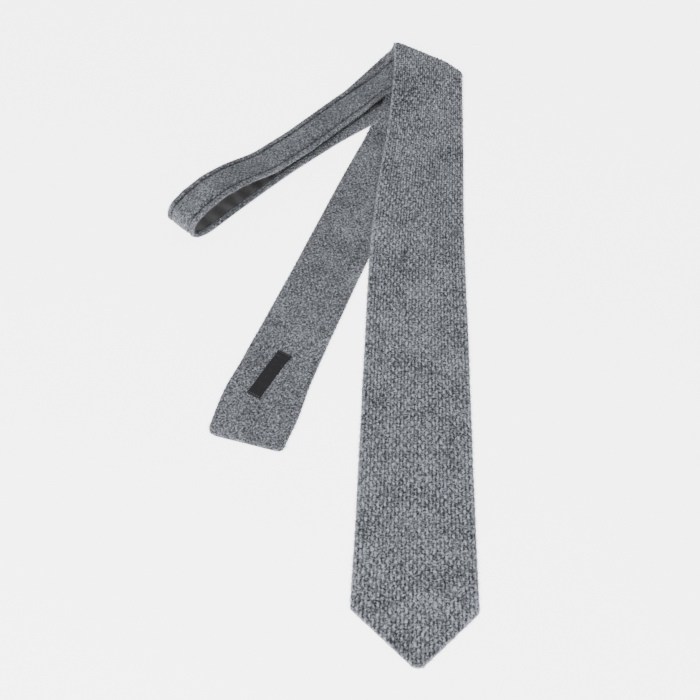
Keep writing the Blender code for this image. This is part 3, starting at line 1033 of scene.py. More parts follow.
def mesh_object(
    name: str,
    points: Array,
    faces: tuple,
    finish: bpy.types.Material,
    uv: Array | None = None,
    numbers: dict | None = None,
) -> bpy.types.Object:
    """New smooth mesh object from arrays.

    Args:
        name: The object's name.
        points: Its points.
        faces: Arrays of faces, each array with one number of corners.
        finish: Its material.
        uv: Map coordinates of the points, for the map named knit.
        numbers: Values of the points, by name.

    Returns:
        The new object, linked to the scene.
    """
    mesh = bpy.data.meshes.new(name)
    corners = np.concatenate([part.ravel() for part in faces]).astype(np.int32)
    counts = np.concatenate([np.full(len(part), part.shape[1]) for part in faces]).astype(np.int32)
    starts = np.concatenate([[0], np.cumsum(counts)[:-1]]).astype(np.int32)
    mesh.vertices.add(len(points))
    mesh.vertices.foreach_set("co", points.astype(np.float32).ravel())
    mesh.loops.add(len(corners))
    mesh.loops.foreach_set("vertex_index", corners)
    mesh.polygons.add(len(counts))
    mesh.polygons.foreach_set("loop_start", starts)
    mesh.polygons.foreach_set("use_smooth", np.ones(len(counts), dtype=bool))
    mesh.update(calc_edges=True)
    if uv is not None:
        layer = mesh.uv_layers.new(name="knit")
        layer.data.foreach_set("uv", uv[corners].astype(np.float32).ravel())
    for key, values in (numbers or {}).items():
        attribute = mesh.attributes.new(key, "FLOAT", "POINT")
        attribute.data.foreach_set("value", values.astype(np.float32))
    mesh.validate()
    mesh.materials.append(finish)
    thing = bpy.data.objects.new(name, mesh)
    bpy.context.scene.collection.objects.link(thing)
    LOG.info("%s: %d triangles", name, int((counts - 2).sum()))
    return thing


def dressed(piece: bpy.types.Object, node: str) -> bpy.types.Object:
    """Let a piece stand for a node of the model: hang it under the root body and hide the node's part.

    Args:
        piece: The piece.
        node: Name of the node.

    Returns:
        The same piece.
    """
    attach(piece, "root")
    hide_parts(node)
    return piece


def spread(*runs: tuple) -> Array:
    """Stations over runs of start, end and longest step."""
    parts = [np.linspace(a, b, max(int(math.ceil((b - a) / step - 1e-9)), 1) + 1) for a, b, step in runs]
    return np.unique(np.round(np.concatenate(parts), 7))


def threads(name: str, centre: Array, side: Array, up: Array, widths: Array,
            finish: bpy.types.Material) -> bpy.types.Object:
    """New mesh of short threads, each a closed five-sided tube.

    Args:
        name: The object's name.
        centre: Middle points, threads by rings by 3.
        side: Unit directions across each thread, of the same shape.
        up: Unit directions square to them.
        widths: Radius of each ring.
        finish: The threads' material.

    Returns:
        The new object.
    """
    count, rings = centre.shape[:2]
    angles = 2.0 * math.pi * np.arange(5) / 5.0
    around = np.cos(angles)[:, None] * side[:, :, None] + np.sin(angles)[:, None] * up[:, :, None]
    points = (centre[:, :, None] + widths[:, None, None] * around).reshape(-1, 3)
    points[:, 2] = np.maximum(points[:, 2], LOWEST)
    first = 5 * rings * np.arange(count)[:, None, None]
    low = 5 * np.arange(rings - 1)[:, None] + np.arange(5)
    high = 5 * np.arange(rings - 1)[:, None] + (np.arange(5) + 1) % 5
    quads = np.stack([low, high, high + 5, low + 5], axis=-1).reshape(-1, 4) + first
    last = 5 * (rings - 1)
    ends = np.array([[4, 3, 2, 1, 0], [last + k for k in range(5)]]) + first
    return mesh_object(name, points, (quads.reshape(-1, 4), ends.reshape(-1, 5)), finish)


def joined(rows: int, *runs: tuple) -> Array:
    """Runs of columns side by side; each run is a distance across, a height and a groove, for all its columns."""
    blank = np.zeros((rows, 1))
    return np.concatenate([np.stack(np.broadcast_arrays(*run, blank)[:3]) for run in runs], axis=2)


@dataclass(frozen=True)
class Fuzz:
    """Short stray fibres over a cloth, each a closed three-sided spike."""

    count: int
    rim_count: int
    length: float = 0.0017
    radius: float = 0.000028
    seed: int = 3
    loose: float = 0.75
    sunk: float = 0.00012
    shortest: float = 0.45
    longer: float = 0.75
    curl: float = 0.00016
    root_floor: float = 0.0002
    tip_floor: float = 0.0004

    def spikes(self, roots: Array, ahead: Array, lengths: Array, bend: Array) -> tuple:
        """Points and faces of the spikes.

        Args:
            roots: Where they start.
            ahead: Unit directions.
            lengths: Their lengths.
            bend: How far the middle of each stands aside.

        Returns:
            Points and an array of triangles.
        """
        helper = np.where(np.abs(ahead[:, 2:3]) < 0.8, [[0.0, 0.0, 1.0]], [[1.0, 0.0, 0.0]])
        side = np.cross(ahead, helper)
        side /= np.linalg.norm(side, axis=1, keepdims=True)
        other = np.cross(ahead, side)
        rings = []
        for share, radius in ((0.0, 1.0), (0.55, 0.75)):
            centre = roots + ahead * (share * lengths)[:, None] + bend * (1.0 if share else 0.0)
            for k in range(3):
                angle = 2.0 * math.pi * k / 3.0
                rings.append(centre + self.radius * radius * (math.cos(angle) * side + math.sin(angle) * other))
        rings.append(roots + ahead * lengths[:, None] + 2.4 * bend)
        points = np.stack(rings, axis=1)
        faces = [(0, 2, 1)]
        for k in range(3):
            n = (k + 1) % 3
            faces += [(k, n, 3 + n), (k, 3 + n, 3 + k), (3 + k, 3 + n, 6)]
        triangles = np.array(faces)[None] + 7 * np.arange(len(roots))[:, None, None]
        return points.reshape(-1, 3), triangles.reshape(-1, 3)

    def build(self, name: str, cloth: "Cloth", finish: bpy.types.Material) -> bpy.types.Object:
        """Grow the fibres on a cloth's shown face and along its edges.

        Args:
            name: The object's name.
            cloth: The cloth.
            finish: The fibres' material.

        Returns:
            The new object.
        """
        rng = np.random.default_rng(self.seed)
        roots, ahead, lengths = [], [], []
        places = (cloth.field(rng, self.count), cloth.rim(rng, self.rim_count))
        for count, (points, normals, outward) in zip((self.count, self.rim_count), places):
            way = outward + rng.normal(size=(count, 3)) * self.loose
            way /= np.linalg.norm(way, axis=1, keepdims=True)
            roots.append(points - self.sunk * normals)
            ahead.append(way)
            lengths.append(self.length * (self.shortest + self.longer * rng.random(count)))
        roots, ahead, lengths = np.concatenate(roots), np.concatenate(ahead), np.concatenate(lengths)
        bend = rng.normal(size=(len(roots), 3)) * self.curl
        tips = roots[:, 2] + ahead[:, 2] * lengths
        keep = (tips > self.tip_floor) & (roots[:, 2] > self.root_floor)
        points, faces = self.spikes(roots[keep], ahead[keep], lengths[keep], bend[keep])
        points[:, 2] = np.maximum(points[:, 2], LOWEST)
        return mesh_object(name, points, (faces,), finish)


class Cloth:
    """Rows of a laid cloth, kept for the pieces that go on it."""

    def __init__(self, points: Array, normals: Array, shown: slice, face: Face, edges: tuple) -> None:
        """Keep the rings, which of their columns are the shown face, and the two edge columns.

        Args:
            points: The rings of points.
            normals: Their normals.
            shown: Columns of the shown face.
            face: Which side of the cloth that is.
            edges: Columns of the left and the right edge.
        """
        self.points = points
        self.normals = normals
        self.shown = shown
        self.face = face
        self.edges = edges

    def field(self, rng: np.random.Generator, count: int) -> tuple[Array, Array, Array]:
        """Random places on the shown face, their normals, and the way fibres lean there.

        Args:
            rng: The source of random numbers.
            count: How many places.

        Returns:
            Three arrays of vectors.
        """
        grid = self.points[:, self.shown]
        row = rng.integers(0, grid.shape[0] - 1, count)
        column = rng.integers(0, grid.shape[1] - 1, count)
        u, v = rng.random((count, 1)), rng.random((count, 1))
        near = grid[row, column] * (1.0 - u) + grid[row, column + 1] * u
        far = grid[row + 1, column] * (1.0 - u) + grid[row + 1, column + 1] * u
        normal = self.normals[:, self.shown][row, column] * self.face.value
        return near * (1.0 - v) + far * v, normal, 0.8 * normal

    def rim(self, rng: np.random.Generator, count: int) -> tuple[Array, Array, Array]:
        """Random places on the two edges, their outward directions, and the way fibres lean there.

        Args:
            rng: The source of random numbers.
            count: How many places.

        Returns:
            Three arrays of vectors.
        """
        row = rng.integers(0, self.points.shape[0] - 1, count)
        pick = rng.integers(0, 2, count)
        left, right = (self.points[:, k] for k in self.edges)
        out = left - right
        out /= np.linalg.norm(out, axis=1, keepdims=True)
        sign = np.where(pick == 0, 1.0, -1.0)[:, None]
        share = rng.random((count, 1))
        at = np.where(pick[:, None] == 0, left[row], right[row])
        then = np.where(pick[:, None] == 0, left[row + 1], right[row + 1])
        outward = out[row] * sign
        return at * (1.0 - share) + then * share, outward, 1.1 * outward


@dataclass(frozen=True)
class Panel:
    """A knitted panel of the tie, with its stitches, its yarn and its fuzz."""

    node: str
    slot: str
    course: float
    relief: KnitRelief
    finish: YarnFinish
    fuzz: Fuzz
    fuzz_finish: PlainFinish

    def knit(self, points: Array, stitches: tuple, numbers: dict) -> bpy.types.Object:
        """Make the panel's mesh.

        Args:
            points: Its rings of points.
            stitches: Wale and course numbers of the points.
            numbers: The rim and groove values of the points.

        Returns:
            The new object.
        """
        surface = Surface(points, np.stack(stitches, axis=-1), numbers)
        return dressed(surface.mesh(f"{self.node}_knit", self.finish.build()), self.node)

    def dress(self, cloth: Cloth) -> bpy.types.Object:
        """Grow the panel's fuzz."""
        return dressed(self.fuzz.build(f"{self.node}_fuzz", cloth, self.fuzz_finish.build()), self.node)


@dataclass(frozen=True)
class Blade(Panel):
    """A blade of the tie: one thick knit panel with rounded, slightly wavy edges."""

    shown: Face
    wales: float
    columns: int
    back_columns: int
    wave: float = 0.00022
    scallop: float = 0.00012
    wave_length: float = 0.021
    edge_lift: float = 0.0002
    edge_fade: float = 0.0030
    edge_relief: float = 0.15
    end_fade: float = 0.004
    hollow: float = 0.45
    rim_width: float = 0.0022
    turn_columns: int = 4

    def section(self, strip: Strip, stations: Array) -> tuple:
        """Ring of columns round the panel at each station: distances across, out, and shares of the width.

        Args:
            strip: The strip of cloth.
            stations: The stations of the rows.

        Returns:
            Distances across and heights, rows by columns, half the width, and where each side's columns start.
        """
        thick = 0.5 * strip.sizes.knit
        from_end = np.minimum(stations, strip.sizes.total - stations)
        share = np.clip(from_end / thick, 0.05, 1.0)
        rounding = np.sqrt(1.0 - (1.0 - share) ** 2)[:, None]
        grain = Grain(self.relief.seed + 5)
        sides = []
        for k, sign in enumerate(SIDES):
            edge = strip.edge(stations, sign)
            row = np.full_like(stations, 3.5 + 7.0 * k)
            ripple = self.wave * grain.at(stations / self.wave_length + 9.0 * k, row)
            scallop = self.scallop * np.cos(math.pi * stations / self.course + 1.7 * k)
            sides.append(edge + sign * (ripple + scallop + self.edge_lift) * rounding[:, 0])
        half = 0.5 * (sides[0] - sides[1])[:, None]
        centre = 0.5 * (sides[0] + sides[1])[:, None]
        radius = np.minimum(thick, 0.9 * half)
        inner = half - radius
        angles = np.linspace(0.0, math.pi, self.turn_columns + 2)[1:-1]
        dense, sparse = self.columns, self.back_columns
        counts = (dense, sparse) if self.shown is Face.OUTER else (sparse, dense)
        face = np.linspace(1.0, -1.0, counts[0])
        back = np.linspace(-1.0, 1.0, counts[1])
        across = [centre + inner * face, centre - inner - radius * np.sin(angles),
                  centre + inner * back, centre + inner + radius * np.sin(angles)]
        level = [np.ones_like(face), np.cos(angles), -np.ones_like(back), -np.cos(angles)]
        out = thick * rounding * np.concatenate(level)[None, :]
        spans = np.cumsum([0, counts[0], len(angles), counts[1], len(angles)])
        return np.concatenate(across, axis=1), out, half, spans

    def stations(self, strip: Strip) -> Array:
        """Rows along the panel; overridden by each blade."""
        raise NotImplementedError

    def build(self, strip: Strip) -> tuple[bpy.types.Object, Cloth]:
        """Make the panel's mesh and keep its rows.

        Args:
            strip: The strip of cloth.

        Returns:
            The new object, and its cloth.
        """
        stations = self.stations(strip)
        across, out, half, spans = self.section(strip, stations)
        along = stations[:, None] + across * strip.skew(stations)[:, None]
        base = strip.base_half(along)
        wale = across / base * 0.5 * self.wales
        course = along / self.course
        bumps = self.relief.height(wale, course)
        edge_gap = half - np.abs(across - 0.5 * (across.max(axis=1) + across.min(axis=1))[:, None])
        ends = np.minimum(stations, strip.sizes.total - stations)[:, None]
        fade = smooth(edge_gap / self.edge_fade) * (1.0 - self.edge_relief) + self.edge_relief
        fade = fade * smooth(ends / self.end_fade)
        first, last = (0, 1) if self.shown is Face.OUTER else (2, 3)
        sign = self.shown.value
        shown = np.zeros(out.shape)
        shown[:, spans[first] : spans[last]] = 1.0
        thick = 0.5 * strip.sizes.knit
        turned = np.clip(sign * out / thick, 0.0, 1.0)
        lift = (bumps - self.hollow * self.relief.depth) * fade * np.maximum(shown, turned)
        points, normal = strip.raised(stations, across, out + sign * lift, FLOOR_EASE)
        # Mask for the painted highlight along the edges; the blades get no painted groove shade.
        rim = smooth(1.0 - edge_gap / self.rim_width)
        piece = self.knit(points, (wale, course), {"rim": rim, "groove": np.zeros_like(rim)})
        middle_turn = self.turn_columns // 2
        edges = (spans[3] + middle_turn, spans[1] + middle_turn)
        return piece, Cloth(points, normal, slice(int(spans[first]), int(spans[last])), self.shown, edges)


@dataclass(frozen=True)
class FrontBlade(Blade):
    """The broad front blade, from its point to just past the top crease."""

    def stations(self, strip: Strip) -> Array:
        """Rows four to a course, closer at the point and round the crease.

        Args:
            strip: The strip of cloth.

        Returns:
            The stations of the rows.
        """
        top = strip.starts[1]
        step = 0.25 * self.course
        return spread(
            (0.00030, 0.0018, 0.0003), (0.0018, top - 0.010, step), (top - 0.010, top + 0.010, 0.0005),
            (top + 0.010, top + strip.sizes.seam_past_crease, 0.0012),
        )


@dataclass(frozen=True)
class TailBlade(Blade):
    """The narrow tail, from just past the hidden crease to its square end."""

    def stations(self, strip: Strip) -> Array:
        """Rows close together, closer still at the square end.

        Args:
            strip: The strip of cloth.

        Returns:
            The stations of the rows.
        """
        start = strip.starts[3] + strip.sizes.tail_seam_past_crease
        end = strip.sizes.total
        square = end - 0.0055
        return spread((start, start + 0.02, 0.0010), (start + 0.02, square, 0.00095), (square, end, 0.0003))


@dataclass(frozen=True)
class NeckBand(Panel):
    """The neck band: a knit panel with its edges rolled over like piping, and a recess for the lining."""

    wale_width: float = 0.0019
    border: float = 0.0046
    seam_width: float = 0.0008
    panel_crown: float = 0.00022
    edge_ease: float = 0.0003
    wall_ease: tuple = (0.00008, 0.0003)
    recess_level: float = 0.0002
    roll: tuple = (
        (0.0000, 0.00000), (0.00018, 0.00055), (0.00055, 0.00100), (0.0011, 0.00135), (0.0018, 0.00150),
        (0.0026, 0.00152), (0.0033, 0.00128), (0.0038, 0.00080), (0.0043, 0.00042), (0.0048, 0.00036),
        (0.0054, 0.00068), (0.0061, 0.00102), (0.0070, 0.00122),
    )
    back_round: float = 0.0016
    inner_thin: float = 0.45
    inner_round: float = 0.0012
    recess_depth: float = 0.0004
    flare_from: float = 1.12
    flare_fade: float = 0.006
    flare_relief: float = 1.1
    groove_fade: float = 0.8
    edge_fade: float = 0.0018
    hollow: float = 0.55
    rim_width: float = 0.0016
    panel_columns: int = 15
    border_columns: int = 11

    def stations(self, strip: Strip) -> Array:
        """Rows along the band, closer round its bends.

        Args:
            strip: The strip of cloth.

        Returns:
            The stations of the rows.
        """
        start, end = strip.neck_span()
        loop, hidden = strip.starts[2:4]
        past = loop + float(strip.creases[1].length(0.0)) + 0.004
        return spread((start, loop - 0.006, 0.00115), (loop - 0.006, past, 0.0009),
                      (past, hidden - 0.008, 0.00105), (hidden - 0.008, end, 0.0006))

    def half_section(self, edge: Array, sign: float, recess: float, thick: float) -> list[Array]:
        """Half of the band's section, from its edge inward.

        Args:
            edge: Distance across of the edge at each station.
            sign: 1 for the left half, -1 for the right one.
            recess: Distance from the middle line to the recess's wall.
            thick: Half the thickness of the knit.

        Returns:
            The outer and the back face, each with distances across, heights and grooves by rows and columns.
        """
        half = sign * edge[:, None]
        roll = np.array(self.roll)
        near = half - roll[:, 0]
        inner = near[:, -1:] * np.linspace(1.0, 0.0, self.panel_columns + 1)[1:]
        panel = roll[-1, 1] + self.panel_crown * smooth(1.0 - inner / np.maximum(near[:, -1:], 1e-6))
        # Mask of the seam's groove: the relief fades there, and the yarn gets painted shade there.
        seam = np.exp(-(((roll[:, 0] - self.border) / self.seam_width) ** 2))
        outer = joined(len(edge), (near, roll[:, 1], seam), (inner, panel, 0.0))
        start = half - self.edge_ease
        side = start - (start - recess) * np.linspace(0.0, 1.0, self.border_columns) ** 1.15
        turned = np.minimum((half - side) / self.back_round, 1.0)
        out = -thick * np.sqrt(np.clip(1.0 - (1.0 - turned) ** 2, 0.0, 1.0))
        rounded = np.sqrt(np.clip((side - recess) / self.inner_round, 0.0, 1.0))
        out = out * (1.0 - self.inner_thin + self.inner_thin * rounded)
        wall = np.array([*(recess - ease for ease in self.wall_ease), 0.5 * recess])
        floor = np.array([-self.recess_depth, self.recess_level, self.recess_level])
        back = joined(len(edge), (side, out, 0.0), (wall, floor, 0.0))
        for face in (outer, back):
            face[0] *= sign
        return [outer, back]

    def build(self, strip: Strip) -> tuple[bpy.types.Object, Cloth]:
        """Make the band's mesh and keep its rows.

        Args:
            strip: The strip of cloth.

        Returns:
            The new object, and its cloth.
        """
        s = strip.sizes
        stations = self.stations(strip)
        edges = [strip.edge(stations, side) for side in SIDES]
        recess = 0.5 * s.lining_width + s.clearance
        (left, left_back), (right, right_back) = (
            self.half_section(edge, side, recess, 0.5 * s.knit) for edge, side in zip(edges, SIDES)
        )
        middle = joined(len(stations), (0.0, self.recess_level, 0.0))
        ring = [left, right[..., -2::-1], right_back, middle, left_back[..., ::-1]]
        across, out, groove = np.concatenate(ring, axis=2)
        shown = left.shape[2] + right.shape[2] - 1
        sign = np.where(np.arange(across.shape[1]) < shown, 1.0, -1.0)
        along = stations[:, None] + across * strip.skew(stations)[:, None]
        wale, course = across / self.wale_width, along / self.course
        flared = smooth((strip.base_half(stations) - 0.5 * s.widths[1] * self.flare_from) / self.flare_fade)[:, None]
        strength = 1.0 + self.flare_relief * flared
        bumps = self.relief.height(wale, course) * strength
        gap = np.minimum(edges[0][:, None] - across, across - edges[1][:, None])
        on_back = (np.abs(across) > recess) & (sign < 0.0)
        bare = np.where(sign > 0.0, 1.0 - self.groove_fade * groove, on_back.astype(float))
        fade = smooth(gap / self.edge_fade) * bare
        out = out + sign * (bumps - self.hollow * self.relief.depth * strength) * fade
        points, normal = strip.raised(stations, across, out, FLOOR_EASE)
        # Masks for the painted highlight along the edges and the painted shade in the seam grooves.
        numbers = {"rim": smooth(1.0 - gap / self.rim_width), "groove": groove}
        piece = self.knit(points, (wale, course), numbers)
        return piece, Cloth(points, normal, slice(1, shown - 1), Face.OUTER, (0, shown - 1))


@dataclass(frozen=True)
class NeckLining:
    """Satin lining in the neck band's recess, softly creased, with a line of stitches along each side."""

    finish: SatinFinish
    thread: PlainFinish
    node: str = "neck_lining"
    slot: str = "lining_satin"
    columns: int = 25
    under_columns: int = 7
    under_ease: float = 0.0001
    step: float = 0.0013
    crease_pitch: float = 0.0135
    crease_depth: float = 0.00022
    ripple_depth: float = 0.00006
    edge_rise: float = 0.00035
    edge_fade: float = 0.0012
    seed: int = 77
    near: float = -0.00040
    far: float = -0.00115
    stitch_aside: float = 0.0086
    stitch_length: float = 0.0018
    stitch_gap: float = 0.0008
    stitch_inset: float = 0.002
    stitch_radius: float = 0.00011
    stitch_dive: tuple = (0.00018, 0.0, -0.00010, 0.0, 0.00018)

    def span(self, strip: Strip) -> tuple[float, float]:
        """First and last station of the lining."""
        start, end = strip.neck_span()
        return start + strip.sizes.lining_inset, end - strip.sizes.lining_inset

    def level(self, stations: Array, across: Array, half: float) -> Array:
        """Height of the lining's shown side above the cloth's middle.

        Args:
            stations: Stations of the places.
            across: Their distances across.
            half: Half the lining's width.

        Returns:
            One height for each place.
        """
        grain = Grain(self.seed)
        phase = stations / self.crease_pitch + 0.35 * grain.at(stations / 0.05, across / 0.02)
        crease = self.crease_depth * np.sin(2.0 * math.pi * phase + 1.2 * across / half)
        small = self.ripple_depth * grain.at(stations / 0.004, across / 0.006)
        inside = smooth((half - np.abs(across)) / self.edge_fade)
        return self.far + (crease + small) * inside + self.edge_rise * (1.0 - inside)

    def build(self, strip: Strip) -> bpy.types.Object:
        """Make the lining's mesh.

        Args:
            strip: The strip of cloth.

        Returns:
            The new object.
        """
        stations = spread((*self.span(strip), self.step))
        half = 0.5 * strip.sizes.lining_width
        under = np.linspace(1.0, -1.0, self.under_columns) * (half - self.under_ease)
        across = np.concatenate([under, np.linspace(-1.0, 1.0, self.columns) * half])
        across = np.broadcast_to(across, (len(stations), len(across)))
        rows = np.broadcast_to(stations[:, None], across.shape)
        shown = np.arange(across.shape[1]) >= self.under_columns
        out = np.where(shown, self.level(rows, across, half), self.near)
        points, _ = strip.raised(stations, across, out, LOWEST)
        uv = np.stack([across, rows], axis=-1) * MILLIMETRES
        piece = Surface(points, uv).mesh(f"{self.node}_satin", self.finish.build())
        return dressed(piece, self.node)

    def dress(self, strip: Strip) -> bpy.types.Object:
        """Sew a dashed line of thread along each side.

        Args:
            strip: The strip of cloth.

        Returns:
            The new object.
        """
        start, end = self.span(strip)
        pitch = self.stitch_length + self.stitch_gap
        count = int((end - start - 2.0 * self.stitch_inset) / pitch)
        first = start + self.stitch_inset + pitch * np.arange(count)
        stations = (first[:, None] + self.stitch_length * np.array([0.0, 0.18, 0.5, 0.82, 1.0])).ravel()
        across = np.ones((len(stations), 2)) * self.stitch_aside * np.array(SIDES)
        middle, up = strip.lay(stations, across)
        dive = np.tile(np.array(self.stitch_dive), count)[:, None]
        level = self.level(np.broadcast_to(stations[:, None], across.shape), across, 0.5 * strip.sizes.lining_width)
        centre = middle + (level + dive)[..., None] * up
        centre, up = (np.moveaxis(grid, 1, 0).reshape(-1, 5, 3) for grid in (centre, up))
        ahead = np.gradient(centre, axis=1)
        ahead /= np.linalg.norm(ahead, axis=-1, keepdims=True)
        widths = self.stitch_radius * np.array([0.45, 0.9, 1.0, 0.9, 0.45])
        piece = threads(f"{self.node}_stitches", centre, np.cross(ahead, up), up, widths, self.thread.build())
        return dressed(piece, self.node)


@dataclass(frozen=True)
class CareLabel:
    """Bare woven tape sewn on the tail's back, its ends turned under."""

    finish: TapeFinish
    thread: PlainFinish
    node: str = "care_label"
    slot: str = "label_tape"
    rows: int = 90
    columns: int = 23
    thickness: float = 0.00042
    base: float = 0.00022
    side_round: float = 0.0004
    under_ease: float = 0.00004
    turned_length: float = 0.0042
    turned_slope: float = 0.0012
    turned_depth: float = 0.00034
    bow_depth: float = 0.00012
    ripple_depth: float = 0.00005
    selvedge_depth: float = 0.00008
    selvedge_width: float = 0.0008
    rim_width: float = 0.0007
    stitch_count: int = 6
    stitch_start: float = -0.0040
    stitch_pitch: float = 0.0016
    stitch_inset: float = 0.0012
    stitch_reach: float = 0.00055
    stitch_slant: float = 0.00025
    stitch_height: float = 0.00040
    stitch_bow: float = 0.00008
    stitch_radius: float = 0.00012

    def places(self, strip: Strip, along: Array, across: Array, level: Array) -> Array:
        """Points of the label in its own directions, above the tail's back.

        Args:
            strip: The strip of cloth.
            along: Distances along the label.
            across: Distances across it.
            level: Heights above the tail's back.

        Returns:
            Places in space.
        """
        s = strip.sizes
        turn = math.radians(s.label_turn)
        station = s.total - s.label_from_end + along * math.cos(turn) - across * math.sin(turn)
        side = s.label_aside + along * math.sin(turn) + across * math.cos(turn)
        middle, normal = strip.surface(station, side), strip.normals(station, side)
        return middle - (0.5 * s.knit + level)[..., None] * normal

    def build(self, strip: Strip) -> bpy.types.Object:
        """Make the tape's mesh.

        Args:
            strip: The strip of cloth.

        Returns:
            The new object.
        """
        half_length, half = 0.5 * strip.sizes.label_length, 0.5 * strip.sizes.label_width
        top, under = np.linspace(1.0, -1.0, self.columns), np.linspace(-1.0, 1.0, 7)[1:-1]
        rows, across = np.meshgrid(np.linspace(-half_length, half_length, self.rows),
                                   half * np.concatenate([top, under]), indexing="ij")
        end, aside = half_length - np.abs(rows), half - np.abs(across)
        folded = self.turned_depth * (1.0 - smooth((end - self.turned_length) / self.turned_slope))
        folded = folded * smooth((end + 0.0002) / 0.0006)
        bow = self.bow_depth * np.cos(rows / half_length * 2.4) + self.ripple_depth * np.sin(rows * 900.0)
        selvedge = self.selvedge_depth * smooth(1.0 - aside / self.selvedge_width)
        upper = self.base + self.thickness * smooth(0.25 + aside / self.side_round) + folded + bow + selvedge
        level = np.where(np.arange(across.shape[1]) < self.columns, upper, self.base - self.under_ease)
        points = self.places(strip, rows, across, level)[:, ::-1]
        uv = np.stack([across, rows], axis=-1)[:, ::-1] * MILLIMETRES
        rim = smooth(1.0 - np.minimum(aside, end) / self.rim_width)[:, ::-1]
        piece = Surface(points, uv, {"rim": rim}).mesh(f"{self.node}_tape", self.finish.build())
        return dressed(piece, self.node)

    def dress(self, strip: Strip) -> bpy.types.Object:
        """Sew the tape's two ends with short stitches.

        Args:
            strip: The strip of cloth.

        Returns:
            The new object.
        """
        shares = np.linspace(-1.0, 1.0, 5)
        ends = np.repeat([-1.0, 1.0], self.stitch_count)[:, None]
        asides = np.tile(self.stitch_start + self.stitch_pitch * np.arange(self.stitch_count), 2)[:, None]
        along = ends * (0.5 * strip.sizes.label_length - self.stitch_inset) + shares * self.stitch_reach
        level = self.base + self.thickness + self.stitch_height + self.stitch_bow * (1.0 - shares**2)
        aslant = asides + shares * self.stitch_slant
        centre = self.places(strip, along, aslant, np.broadcast_to(level, along.shape))
        ahead = np.gradient(centre, axis=1)
        ahead /= np.linalg.norm(ahead, axis=-1, keepdims=True)
        side = np.cross(ahead, [0.0, 0.0, 1.0])
        side /= np.linalg.norm(side, axis=-1, keepdims=True)
        widths = self.stitch_radius * np.array([0.5, 0.9, 1.0, 0.9, 0.5])
        piece = threads(f"{self.node}_stitches", centre, side, np.cross(side, ahead), widths, self.thread.build())
        return dressed(piece, self.node)


@dataclass(frozen=True)
class Studio:
    """Pale floor, soft light and the camera."""

    floor_drop: float = 0.0002
    floor_size: float = 80.0
    floor_colour: tuple = (0.90, 0.90, 0.90)
    floor_glow: float = 3.7
    sky: float = 1.15
    key_power: float = 31.0
    key_size: float = 0.9
    key_place: tuple = (-0.55, -0.75, 0.95)
    key_aim: tuple = (-0.03, 0.12, 0.0)
    camera_place: tuple = (-0.02836, -0.39315, 0.802)
    camera_turn: tuple = (36.0, 0.0, 1.97)
    lens: float = 70.0
    sensor: float = 36.0

    def build(self) -> None:
        """Set the floor, the lights and the camera."""
        bpy.ops.object.select_all(action="DESELECT")
        bpy.ops.mesh.primitive_plane_add(size=self.floor_size, location=(0.0, 0.0, -self.floor_drop))
        floor = bpy.context.object
        floor.name = "floor"
        finish = PlainFinish("floor_matt", self.floor_colour, roughness=0.95, vary=0.0).build()
        shader = finish.node_tree.nodes["Principled BSDF"]
        shader.inputs["Emission Color"].default_value = (1.0, 1.0, 1.0, 1.0)
        shader.inputs["Emission Strength"].default_value = self.floor_glow
        floor.data.materials.append(finish)
        aim = Vector(self.key_aim) - Vector(self.key_place)
        turn = aim.to_track_quat("-Z", "Y").to_euler()
        bpy.ops.object.light_add(type="AREA", location=self.key_place, rotation=turn)
        key = bpy.context.object
        key.name = "key_light"
        key.data.energy = self.key_power
        key.data.size = self.key_size
        world = bpy.data.worlds.new("studio_sky")
        world.use_nodes = True
        background = world.node_tree.nodes["Background"]
        background.inputs["Color"].default_value = (1.0, 1.0, 1.0, 1.0)
        background.inputs["Strength"].default_value = self.sky
        bpy.context.scene.world = world
        turn = tuple(math.radians(angle) for angle in self.camera_turn)
        bpy.ops.object.camera_add(location=self.camera_place, rotation=turn)
        camera = bpy.context.object
        camera.name = "photo_camera"
        camera.data.lens = self.lens
        camera.data.sensor_width = self.sensor
        bpy.context.scene.camera = camera
        LOG.info("studio set")


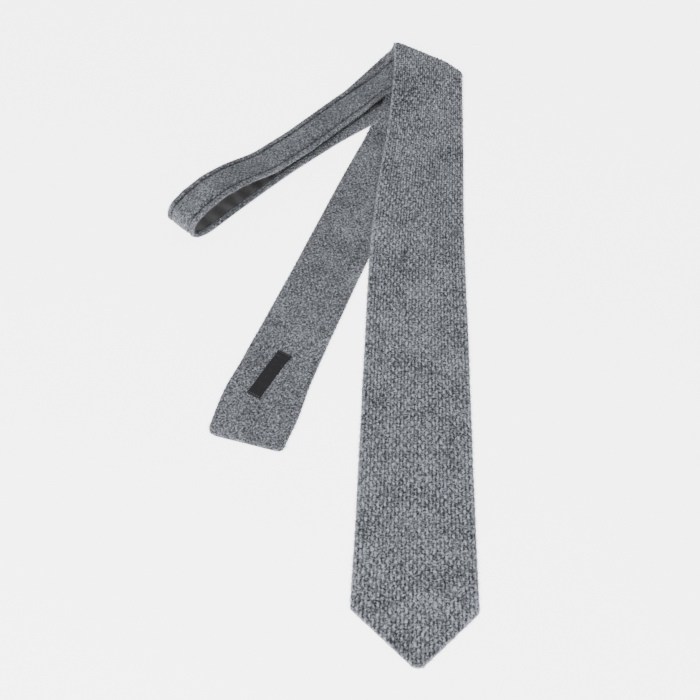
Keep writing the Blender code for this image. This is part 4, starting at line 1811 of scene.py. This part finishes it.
class Necktie:
    """The whole tie, piece by piece."""

    def __init__(self, sizes: Sizes) -> None:
        """Plan the strip and choose the finishes of its pieces.

        Args:
            sizes: The tie's sizes.
        """
        self.strip = Strip(sizes)
        fuzz = PlainFinish("fuzz_fibre", (0.17, 0.178, 0.19), vary=0.25, sheen=0.1)
        self.front = FrontBlade(
            node="front_blade", slot="grey_knit", shown=Face.OUTER, wales=31.5, course=0.00385, columns=112,
            back_columns=16, relief=KnitRelief(depth=0.00055, uneven=0.7, felt=0.00008, seed=11, sharp=1.7),
            finish=YarnFinish("cashmere_knit", (0.0096, 0.0107, 0.0130), (0.282, 0.299, 0.335), crown=0.36,
                              stitch=0.48, sharp=3.0, gap=0.24, fleck=0.72, melange=1.45, rim=0.40),
            fuzz=Fuzz(5200, 6600, 0.0021, 0.000048), fuzz_finish=fuzz,
        )
        self.neck = NeckBand(
            node="neck_band", slot="neck_knit", course=0.0026,
            relief=KnitRelief(depth=0.00022, uneven=0.8, felt=0.00009, seed=41),
            finish=YarnFinish("cashmere_neck", (0.0105, 0.0116, 0.0138), (0.230, 0.243, 0.270), crown=0.16,
                              fleck=0.46, melange=1.5, rim=0.06),
            fuzz=Fuzz(3000, 5200, 0.0017, 0.000045, seed=5), fuzz_finish=fuzz,
        )
        self.tail = TailBlade(
            node="tail_blade", slot="tail_knit", shown=Face.BACK, wales=26.0, course=0.0026, columns=74,
            back_columns=14, relief=KnitRelief(depth=0.00020, uneven=0.9, felt=0.00010, seed=23),
            finish=YarnFinish("cashmere_tail", (0.0100, 0.0111, 0.0132), (0.236, 0.249, 0.278), crown=0.12,
                              fleck=0.60, melange=1.8, rim=0.12),
            fuzz=Fuzz(3200, 4200, 0.0019, 0.000045, seed=7), fuzz_finish=fuzz,
        )
        thread = PlainFinish("grey_thread", (0.10, 0.10, 0.108), roughness=0.6, vary=0.1, sheen=0.1)
        self.lining = NeckLining(SatinFinish("dark_satin", (0.010, 0.010, 0.0108), (0.066, 0.066, 0.0690)), thread)
        self.label = CareLabel(TapeFinish("charcoal_tape", (0.0050, 0.0050, 0.0055), (0.030, 0.030, 0.0325)), thread)

    def build(self) -> None:
        strip, s = self.strip, self.strip.sizes
        knits, fuzzes = [], []
        for panel in (self.front, self.neck, self.tail):
            piece, cloth = panel.build(strip)
            knits.append(piece)
            fuzzes.append(panel.dress(cloth))
        _, neck, tail = knits
        lining, lining_stitches = self.lining.build(strip), self.lining.dress(strip)
        label, label_stitches = self.label.build(strip), self.label.dress(strip)
        seams = [0.0, strip.starts[1] + s.seam_past_crease, strip.starts[3] + s.tail_seam_past_crease, s.total]
        lies = (("folded", [neck, tail]), ("folded", ["floor"]), ("laid", [neck, "floor"]))
        for k, (held, rests) in enumerate(lies):
            start, end = seams[k : k + 2]
            halves = strip.half_width(np.linspace(start, end, 400))
        first, last = self.lining.span(strip)


def main() -> None:
    """Build the tie and its studio."""
    logging.basicConfig(level=logging.INFO, format="%(name)s: %(message)s")
    Studio().build()
    Necktie(Sizes()).build()


if __name__ == "__main__":
    main()
